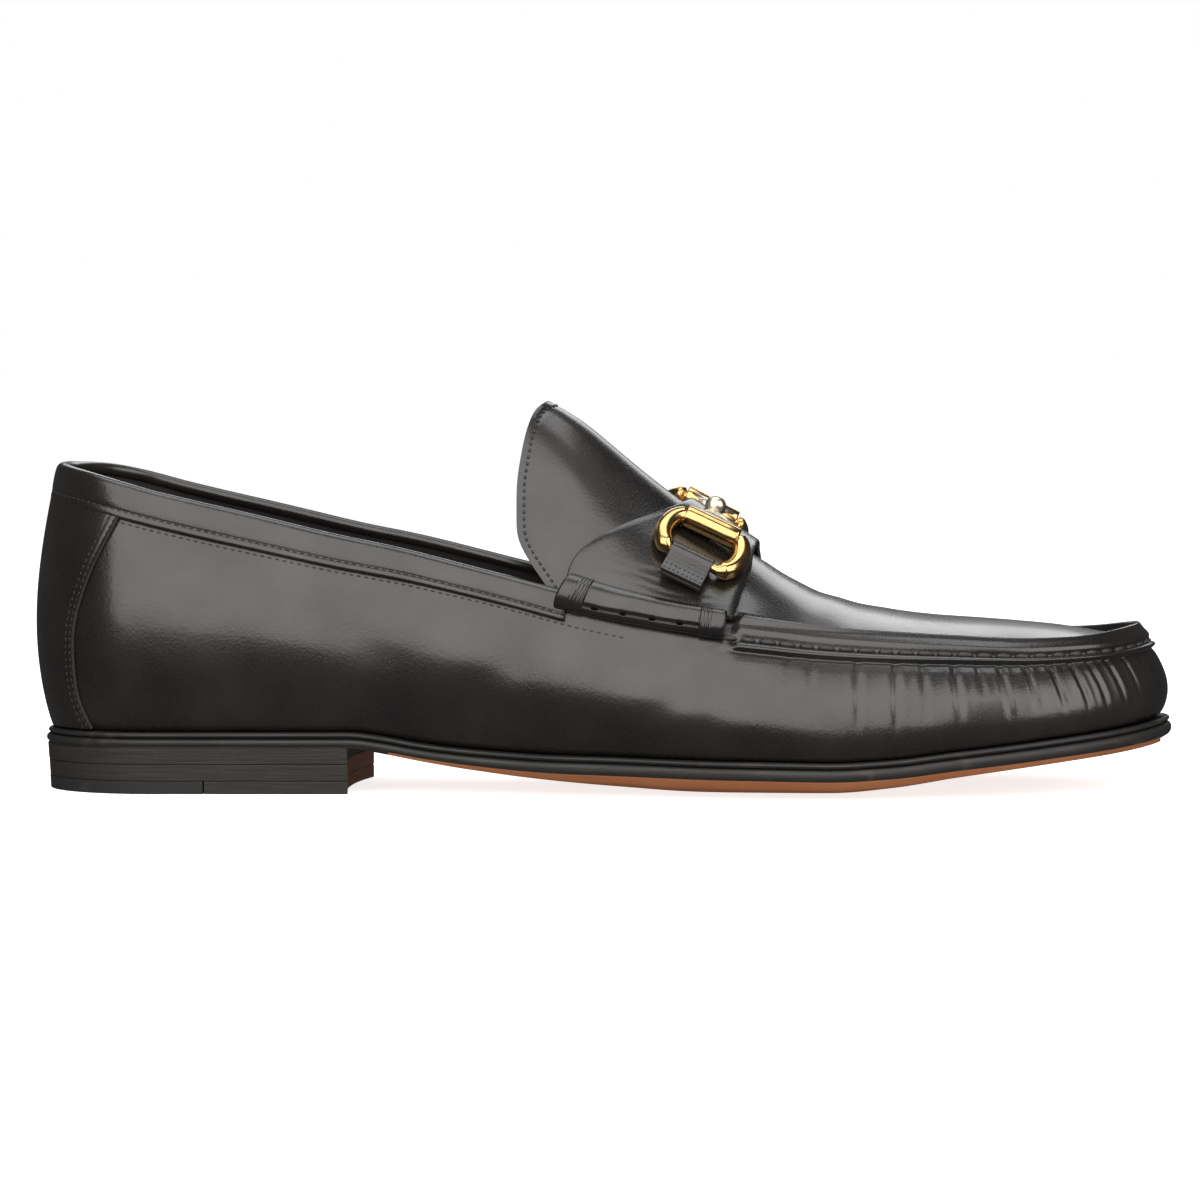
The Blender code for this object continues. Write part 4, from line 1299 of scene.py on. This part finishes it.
def makeSideRoll(name, inner, *nodes):
    look = sideRollLook
    length = (look["end"] - look["start"]) * last["soleLength"]
    marks = np.linspace(0, length, look["marks"] + 1)
    turns = turnOn(look["start"] + marks / last["soleLength"], inner)
    centres = topEdge(turns)
    up = unit(centres - wall(turns, 0.86))
    along = unit(wall(turns + 0.002, 1.0) - wall(turns - 0.002, 1.0))
    out = unit(np.cross(along, up))
    up = unit(up + along * look["lean"] * (1 - fade(marks, *look["leanEnds"]))[:, None])

    rearEnd, frontEnd = look["rearBinding"], length - look["frontBinding"]
    rear = 1 - fade(marks, rearEnd - look["bindingEdge"], rearEnd)
    front = fade(marks, frontEnd, frontEnd + look["bindingEdge"])
    bound = (rear + front)[:, None]
    free = 1 - np.minimum(bound, 1)
    (rearWrap, rearWidth), (frontWrap, frontWidth) = look["wraps"]
    wraps = hump(marks, rearEnd - rearWrap, rearWidth) + hump(marks, frontEnd + frontWrap, frontWidth)
    wraps = np.minimum(wraps * look["wrapGain"], 1)[:, None]
    twist = np.abs(np.sin(np.pi * marks / look["threadPitch"]))[:, None]
    swell = look["swell"][0] * np.sin(2 * np.pi * marks / look["swell"][1])[:, None] * free

    # Section: from the top over the outside to the bottom, with a grooved lip along its foot
    angle = (np.pi * np.arange(look["around"] + 1) / look["around"])[None, :]
    share = (marks / length)[:, None]
    tall = look["height"] / 2 * np.where(angle < np.pi / 2, 1 - look["taper"] * share, 1.0)
    tall = tall * (1 + look["bindingSwell"] * bound)
    thick = look["thickness"] * (1 - look["thinning"] * share) + look["bindingStep"] * bound + swell
    thick = thick + wraps * (look["wrapRound"] * twist - look["wrapSink"])
    depth = thick * np.sin(angle) ** look["fullness"]
    away = (angle - look["holeAngle"]) * look["height"] / 2
    depth = depth - look["groove"] * hump(away, 0, look["grooveWidth"]) * free
    for hole in look["holes"]:
        apart = np.hypot(marks[:, None] - hole, away)
        pit = 1 - fade(apart, look["holeSize"] * look["holeFloor"], look["holeSize"])
        depth = depth - look["holeDepth"] * pit * free
    capLength, shrink = look["cap"]
    cap = np.minimum(np.minimum(marks, length - marks) / capLength, 1)
    cap = (shrink + (1 - shrink) * np.sqrt(1 - (1 - cap) ** 2))[:, None]
    section = np.stack([tall * np.cos(angle) * cap, look["stand"] + np.maximum(depth, 0) * cap], -1)
    place(sweepAlong(name, centres, up, out, section, calf), "black_calf", *nodes)


makeSideRoll("outerSideRoll", False, "side_roll_lateral")
makeSideRoll("innerSideRoll", True, "side_roll_medial")
print("side rolls made")

bitLook = {
    "straight": 0.0128,
    "reach": 0.0042,
    "half": 0.0072,
    "tube": 0.0049,
    "thinBar": 0.0025,
    "core": 0.0022,
    "barrel": 0.0060,
    "barrelLength": 0.0150,
    "stations": (0.5800, 0.5715),
    "across": (-0.62, 0.55),
    "ballStation": 0.584,
    "ballAcross": -0.20,
    "ball": 0.0056,
    "armThickness": 0.0013,
    "armWidth": 0.0128,
    "armDrop": 0.0020,
    "armCrest": 0.55,
    "armClearance": 0.0004,
    "armGrowth": 0.5,
    "armCorners": (0.75, 0.85),
    "tubeRim": (0.00005, 0.0004),
    "barRim": (0.0002, 0.0022),
    "neckAngle": 0.45,
}
# Profile of the barrel from its middle: distance from the end, share of its radius
barrelEnd = ((0.0005, 1.0), (0.00015, 0.97), (0.0, 0.90), (0.0, 0.62), (0.0006, 0.55))
# Neck under the ball: distance below its middle, radius, both as shares of the ball's radius
neckRows = ((0.95, 0.50), (1.05, 0.62), (1.2, 0.72))
# Width of an arm from its barrel to the ball, as a share of its widest
armRows = ((0.00, 1.00), (0.10, 0.86), (0.28, 0.60), (0.52, 0.42), (0.75, 0.35), (1.00, 0.34))
keeperLook = {
    "width": 0.0118,
    "shift": 0.0006,
    "thickness": 0.0010,
    "tail": 0.0055,
    "foldStart": math.radians(40),
    "stitch": (0.00125, 0.0008, 0.0004, 0.0003),
    "rows": (0.0009, 0.0027),
    "rowHalf": 0.43,
    "proud": 0.00004,
    "edge": 0.00028,
    "edgeAngle": 35,
}


def ringFrame(inner):
    station = bitLook["stations"][inner]
    seat, along, out = instepFrame(np.array([station]), bitLook["across"][inner])
    across = np.cross(out, along) * (1 if inner else -1)
    lift = strapLook["bed"] + strapLook["thickness"] + keeperLook["thickness"] + 2 * last["gap"]
    lift = lift + bitLook["thinBar"] / 2
    return (seat + out * lift)[0], along[0], across[0], out[0]


def roundSections(radii, count=22):
    angle = 2 * np.pi * np.arange(count) / count
    circle = np.stack([np.cos(angle), np.sin(angle)], -1)
    return np.asarray(radii)[:, None, None] * circle[None]


def makeRing(name, inner, *nodes):
    look = bitLook
    centre, along, across, out = ringFrame(inner)
    half = look["straight"] / 2
    radius = look["half"]
    reach = look["reach"]
    end = look["barrelLength"] / 2
    arc = np.linspace(-np.pi / 2, np.pi / 2, 49)
    straight = np.linspace(-half, half, 25)[1:-1]
    side = np.full(len(straight), radius)
    a = np.concatenate([straight, half + reach * np.cos(arc), -straight, -half - reach * np.cos(arc)])
    b = np.concatenate([-side, radius * np.sin(arc), side, -radius * np.sin(arc)])
    thick = fade(np.abs(a), end + look["tubeRim"][0], end + look["tubeRim"][1])
    low = np.where(b > 0, fade(np.abs(a), half - look["barRim"][0], half + look["barRim"][1]), thick)
    thin = np.where(b > 0, look["thinBar"], look["core"])
    radii = (thin + (look["tube"] - thin) * low) / 2
    centres = centre + along * a[:, None] + across * b[:, None]
    ahead = unit(np.roll(centres, -1, 0) - np.roll(centres, 1, 0))
    right = unit(np.cross(ahead, out))
    ring = sweepAlong(name + "Loop", centres, right, out, roundSections(radii), gold, closed=True)

    # The barrel that the ring's core runs through, with rounded rims and hollow ends
    size = look["barrel"] / 2
    shape = [(back - end, share) for back, share in barrelEnd[::-1]] + [(-end * 0.5, 1.0), (end * 0.5, 1.0)]
    shape += [(end - back, share) for back, share in barrelEnd]
    places = np.array([x for x, _ in shape])
    axis = centre - across * radius + along * places[:, None]
    square = unit(np.cross(along, out))
    sections = roundSections([size * share for _, share in shape], 40)
    barrel = sweepAlong(name + "Barrel", axis, square, np.cross(square, along), sections, gold)
    place(joinPieces(name, [ring, barrel]), "gold_metal", *nodes)


def makeBar():
    look = bitLook
    frameThere = instepFrame(np.array([look["ballStation"]]), look["ballAcross"])
    peak, _, out = (value[0] for value in frameThere)
    peak = peak + out * (strapLook["bed"] + strapLook["thickness"] + last["gap"] + look["ball"] / 2)
    crest = peak - out * look["armDrop"]
    arms = []
    for inner in (False, True):
        centre, along, across, _ = ringFrame(inner)
        end = centre - across * (look["half"] + look["barrel"] / 2 + look["armClearance"])
        reach = np.linalg.norm(crest - end) * look["armCrest"]
        climb = (crest[2] - end[2]) / abs(across[2])
        arms.append((end, end - across * min(reach, climb), along))
    steps = 120
    u = np.arange(steps + 1) / steps
    v = (1 - np.abs(1 - 2 * u))[:, None]
    second = (u > 0.5)[:, None]
    near = np.where(second, arms[1][0], arms[0][0])
    knee = np.where(second, arms[1][1], arms[0][1])
    centres = near * (1 - v) ** 2 + knee * 2 * v * (1 - v) + crest * v * v
    way = unit(arms[0][2] * (1 - u[:, None]) + arms[1][2] * u[:, None])
    ahead = unit(np.gradient(centres, axis=0))
    up = unit(np.cross(way, ahead))
    wide = look["armWidth"] / 2 * smoothColumn(armRows, 1, 0.03)(v[:, 0])
    thick = look["armThickness"] / 2 * (1 + look["armGrowth"] * fade(v[:, 0], 0.5, 1.0))
    angle = 2 * np.pi * np.arange(28) / 28
    corners = zip((np.cos(angle), np.sin(angle)), look["armCorners"])
    across, height = (np.sign(x) * np.abs(x) ** power for x, power in corners)
    profile = np.stack([thick[:, None] * height[None], wide[:, None] * across[None]], -1)
    arm = sweepAlong("arms", centres, up, way, profile, paleGold)

    # The ball stands on a short neck
    radius = look["ball"] / 2
    polar = np.linspace(0.0, math.pi - look["neckAngle"], 26)
    shape = [(radius * math.cos(a), radius * math.sin(a)) for a in polar]
    shape += [(-radius * below, radius * share) for below, share in neckRows]
    axis = peak + out * np.array([x for x, _ in shape])[:, None]
    right = unit(np.cross(out, np.array([1.0, 0.0, 0.0])))
    sections = roundSections([max(r, 1e-5) for _, r in shape], 40)
    ball = sweepAlong("ball", axis, right, np.cross(out, right), sections, paleGold)
    place(joinPieces("crossBar", [arm, ball]), "gold_metal", "bit_bar")


def makeKeeper(name, inner, *nodes):
    look = keeperLook
    centre, along, across, out = ringFrame(inner)
    bar = centre + across * bitLook["half"] - along * look["shift"]
    inside = bitLook["thinBar"] / 2 + last["gap"] * 0.6
    outside = inside + look["thickness"]
    tail = outside + look["tail"]
    closed = last["gap"] - inside
    start = look["foldStart"]

    def fold(radius, level):
        arc = start + (1.5 * math.pi - start) * np.linspace(0, 1, 30)
        bend = [(radius * math.cos(a), radius * math.sin(a)) for a in arc]
        knee = bend[0][0] + (bend[0][1] - level) * math.tan(start)
        return [(tail, level), (knee + 0.0006, level), (knee, level + 0.00006)] + bend + [(tail, -radius)]

    loop = fold(inside, closed) + fold(outside, closed + look["thickness"])[::-1]
    widths = np.linspace(-0.5, 0.5, 15) * look["width"]
    profile = np.broadcast_to(np.array(loop)[None], (len(widths), len(loop), 2))
    piece = sweepAlong(name, bar + along * widths[:, None], across, out, profile, calf)
    softenEdges(piece, look["edge"], look["edgeAngle"])
    place(piece, "black_calf", *nodes)
    rows = []
    level = closed + look["thickness"] + look["proud"]
    ends = np.linspace(-look["rowHalf"], look["rowHalf"], 24)[:, None] * look["width"]
    for inset in look["rows"]:
        row = bar + along * ends + across * (tail - inset) + out * level
        rows.append((row, np.broadcast_to(out, row.shape)))
    return rows


makeRing("outerRing", False, "bit_ring_lateral")
makeRing("innerRing", True, "bit_ring_medial")
makeBar()
keeperRows = makeKeeper("outerKeeper", False, "keeper_lateral")
keeperRows += makeKeeper("innerKeeper", True, "keeper_medial")
sew("keeperStitches", keeperRows, keeperLook["stitch"], 17)
print("bit and keepers made")

soleLook = {
    "columns": 520,
    "across": 28,
    "round": 0.0006,
    "bevelReach": 0.0045,
    "bevelFrom": 0.2,
    "edgeStart": 0.08,
    "topRound": 0.0006,
    "flat": 0.36,
    "randInset": 0.0008,
    "insoleThickness": 0.0025,
    "insoleHollow": 0.0006,
}
# Rings up the bevel and up the edge: share of the height, millimetres out or in
bevelRings = ((0.12, 0.05), (0.35, 0.12), (0.6, 0.12), (0.85, 0.06))
edgeRings = ((0.04, 0.60), (0.10, 0.36), (0.19, 0.16), (0.32, 0.04), (0.50, 0.0), (0.66, 0.04),
             (0.79, 0.18), (0.89, 0.42), (0.96, 0.75))
# Sections of the rand and of the insole: share of the height, millimetres in from the foot
randRings = ((0.0, 0.45), (0.12, 0.12), (0.32, -0.22), (0.55, -0.30), (0.78, -0.12), (0.93, 0.30),
             (1.0, 0.70))
insoleRings = ((0.0, 0.0), (0.5, -0.1), (0.85, 0.0), (1.0, 0.8))


def soleBody(name, rings, materials, bevelCount, bottom, top):
    # rings: (inset, height) at each column, from the bottom's edge to the top's edge
    columns = soleLook["columns"]
    turns = np.arange(columns) / columns
    s = stationOf(turns)
    rows = []
    for inset, height in rings(s):
        points = outline(turns, inset)
        points[..., 2] = height
        rows.append(points)
    skin = np.stack(rows)
    faces = gridFaces(len(rows), columns, True)
    bevelled = bevelShare(s) > soleLook["bevelFrom"]
    indices = [int(i < bevelCount * columns and bevelled[i % columns]) for i in range(len(faces))]
    here = np.arange(columns // 2 + 1)
    there = (columns - here) % columns
    k = np.linspace(0, 1, soleLook["across"] + 1)
    points = [skin.reshape(-1, 3)]
    count = len(points[0])
    for ring, height, flip, material in ((skin[0], bottom, False, 1), (skin[-1], top, True, 0)):
        left, right = ring[here], ring[there]
        grid = left[:, None] + (right - left)[:, None] * k[None, :, None]
        z = height(stationAt(grid), 2 * k[None] - 1)
        z[:, 0] = left[:, 2]
        z[:, -1] = right[:, 2]
        grid[..., 2] = z
        more = gridFaces(len(here), len(k), start=count)
        faces += [face[::-1] for face in more] if flip else more
        indices += [material] * len(more)
        points.append(grid.reshape(-1, 3))
        count += len(points[-1])
    return makePiece(name, np.concatenate(points), faces, materials, indices)


def bevelFoot(s):
    return underside(s) + last["soleCrown"] * crownShare(s)


def edgeFoot(s):
    return bevelFoot(s) + last["soleBevel"] * bevelShare(s) + last["soleEdge"] * soleLook["edgeStart"]


def outsoleRings(s):
    edge = soleLook["round"]
    reach = edge + soleLook["bevelReach"] * bevelShare(s)
    low, middle, high = bevelFoot(s), edgeFoot(s), soleTop(s)
    yield reach, low
    for share, out in bevelRings:
        inset = reach * (1 - share) + edge * share - out * 0.001 * bevelShare(s)
        yield inset, low * (1 - share) + middle * share
    yield edge, middle
    for share, inset in edgeRings:
        yield inset * 0.001, middle + (high - middle) * share
    yield edge + soleLook["topRound"], high


def outsoleBottom(s, w):
    flat = soleLook["flat"]
    fall = 1 - (np.maximum(np.abs(w) - flat, 0) / (1 - flat)) ** 2
    return bevelFoot(s) - last["soleCrown"] * crownShare(s) * fall


def makeOutsole():
    def top(s, w):
        return soleTop(s)

    tones = [waxedEdge, tanLeather]
    piece = soleBody("outsoleBody", outsoleRings, tones, len(bevelRings) + 1, outsoleBottom, top)
    place(piece, "sole_leather", "outsole")


def makePlate(name, section, inset, foot, tall, hollow, material):
    def rings(s):
        for share, more in section:
            yield inset + more * 0.001, foot(s) + tall * share

    def top(s, w):
        return foot(s) + tall - hollow * (1 - w**2)

    return soleBody(name, rings, [material, material], 0, lambda s, w: foot(s), top)


def makeRand():
    def foot(s):
        return soleTop(s) + last["gap"] * 0.5

    tall = last["randThickness"] + last["gap"] * 0.4
    piece = makePlate("randStrip", randRings, soleLook["randInset"], foot, tall, 0, waxedEdge)
    place(piece, "black_edge", "midsole")


def makeInsole():
    def foot(s):
        return featherHeight(s) + last["gap"]

    inset = last["featherMargin"] + last["leather"] + 2 * last["gap"]
    tall, hollow = soleLook["insoleThickness"], soleLook["insoleHollow"]
    piece = makePlate("insoleBoard", insoleRings, inset, foot, tall, hollow, lining)
    place(piece, "lining", "insole")


makeOutsole()
makeRand()
makeInsole()
print("outsole, rand and insole made")

heelBlock = {
    "layer": 0.0034,
    "rubberShare": 0.546,
    "hollow": 0.0025,
    "taper": 0.0007,
    "steps": 44,
    "frontSteps": 16,
    "edge": 0.00022,
    "inset": 0.00008,
    "rawBelow": 0.0051,  # layers that start below this height have a raw front face
    "frontSlope": 0.3,
    "frontFrom": 0.25,
}


def heelLoop(inset, start, end):
    turns = np.linspace(float(turnOf(end)), float(turnOf(start)), heelBlock["steps"] + 1)
    outer = outline(turns, inset)
    inner = outline(1 - turns[::-1], inset)
    loop = [*outer, *(inner[1:] if start == 0 else inner)]
    if end >= breast:
        right, left = loop[-1], loop[0]
        steps = heelBlock["frontSteps"]
        for i in range(1, steps):
            hollow = heelBlock["hollow"] * (1 - (2 * i / steps - 1) ** 2)
            loop.append(right + (left - right) * i / steps - np.array([hollow, 0, 0]))
    return np.array(loop)


def makeLayer(name, low, high, start, end, material, slotName, node, seat=0.0):
    def loopAt(z):
        inset = last["gap"] + seat + heelBlock["taper"] * (1 - z / last["seatHeight"])
        loop = heelLoop(inset, start, end)
        loop[:, 2] = z
        return loop

    bottom, top = loopAt(low), loopAt(high)
    count = len(bottom)
    faces = [list(range(count))[::-1], list(range(count, 2 * count))]
    faces += [[j, (j + 1) % count, count + (j + 1) % count, count + j] for j in range(count)]
    ahead = np.roll(bottom, -1, 0) - bottom
    across = np.abs(ahead[:, 0]) < heelBlock["frontSlope"] * np.abs(ahead[:, 1])
    front = across & (bottom[:, 0] > last["heelLength"] * heelBlock["frontFrom"])
    raw = front & (end >= breast and low < heelBlock["rawBelow"])
    indices = [0, 0, *map(int, raw)]
    piece = makePiece(name, np.concatenate([bottom, top]), faces, [material, heelBreast], indices)
    softenEdges(piece, heelBlock["edge"])
    place(piece, slotName, node)


def makeHeel():
    gap = last["gap"]
    layer = heelBlock["layer"]
    lift = layer + (last["seatHeight"] - layer) / 2
    low, rest = layer + gap * 0.2, last["seatHeight"] - gap * 0.2
    seam = breast * heelBlock["rubberShare"]
    quarter = seam + gap / last["soleLength"]
    black, inset = "black_edge", heelBlock["inset"]
    makeLayer("rubberPiece", 0, layer, 0, seam, heelRubber, "heel_rubber", "heel_top_rubber")
    makeLayer("leatherQuarter", 0, layer, quarter, breast, heelLeather, black, "heel_top_leather")
    makeLayer("lowerLift", low, lift, 0, breast, heelLeather, black, "heel_lift_lower", inset)
    makeLayer("upperLift", lift + gap * 0.2, rest, 0, breast, heelLeather, black, "heel_lift_upper")


makeHeel()
print("heel made")

studio = {
    "floor": (0.80, 0.80, 0.80),
    "floorShade": 0.99,
    "floorHalf": 8,
    "floorGlow": 0.77,
    "backdrop": 1.0,
    "fill": 0.30,
    "gleam": 0.045,
}


# Lights: name, place, point aimed at, width, height, power, tint
warm, white = (1.0, 0.975, 0.95), (1.0, 1.0, 1.0)
softboxes = (
    ("side", (-0.16, -1.06, 0.76), (0.04, 0.0, 0.05), 1.9, 1.6, 26, warm),
    ("toeSide", (1.30, -0.66, 0.66), (0.15, 0.0, 0.05), 1.1, 1.3, 13, warm),
    ("overhead", (0.10, 0.15, 1.30), (0.10, 0.0, 0.0), 1.2, 0.8, 8, white),
    ("behind", (0.10, 1.40, 0.80), (0.10, 0.0, 0.05), 1.2, 0.6, 5, white),
)


def addSoftbox(name, where, aim, width, height, power, tint):
    light = bpy.data.lights.new(name, "AREA")
    light.shape = "RECTANGLE"
    light.size = width
    light.size_y = height
    light.energy = power
    light.color = tint
    lamp = addObject(name, light)
    lamp.location = where
    lamp.rotation_mode = "QUATERNION"
    lamp.rotation_quaternion = (Vector(aim) - Vector(where)).to_track_quat("-Z", "Y")


def makeStudio():
    floor = Finish("paleFloor", 0.1, Roughness=0.9)
    darker = [part * studio["floorShade"] for part in studio["floor"]]
    floor.paint(floor.noise(30.0), studio["floor"], darker)
    floor.shader.inputs["Emission Color"].default_value = (1, 1, 1, 1)
    floor.shader.inputs["Emission Strength"].default_value = studio["floorGlow"]
    mesh = bpy.data.meshes.new("paleFloor")
    far = studio["floorHalf"]
    mesh.from_pydata([(-far, -far, 0), (far, -far, 0), (far, far, 0), (-far, far, 0)], [], [(0, 1, 2, 3)])
    mesh.materials.append(floor.material)
    ground = addObject("paleFloor", mesh)
    ground.visible_glossy = False

    world = bpy.data.worlds.new("studio")
    world.use_nodes = True
    bpy.context.scene.world = world
    bench = NodeBench(world.node_tree)
    background = world.node_tree.nodes["Background"]
    seen = bench.node("ShaderNodeLightPath", output="Is Camera Ray")
    mirrored = bench.node("ShaderNodeLightPath", output="Is Glossy Ray")
    strength = seen * (studio["backdrop"] - studio["fill"]) + studio["fill"]
    strength = strength - mirrored * (studio["fill"] - studio["gleam"])
    world.node_tree.links.new(strength.socket, background.inputs["Strength"])
    background.inputs["Color"].default_value = (1, 1, 1, 1)

    for row in softboxes:
        addSoftbox(*row)


makeStudio()
makeCamera()
bpy.context.scene.view_settings.view_transform = "Standard"
print("studio lit")
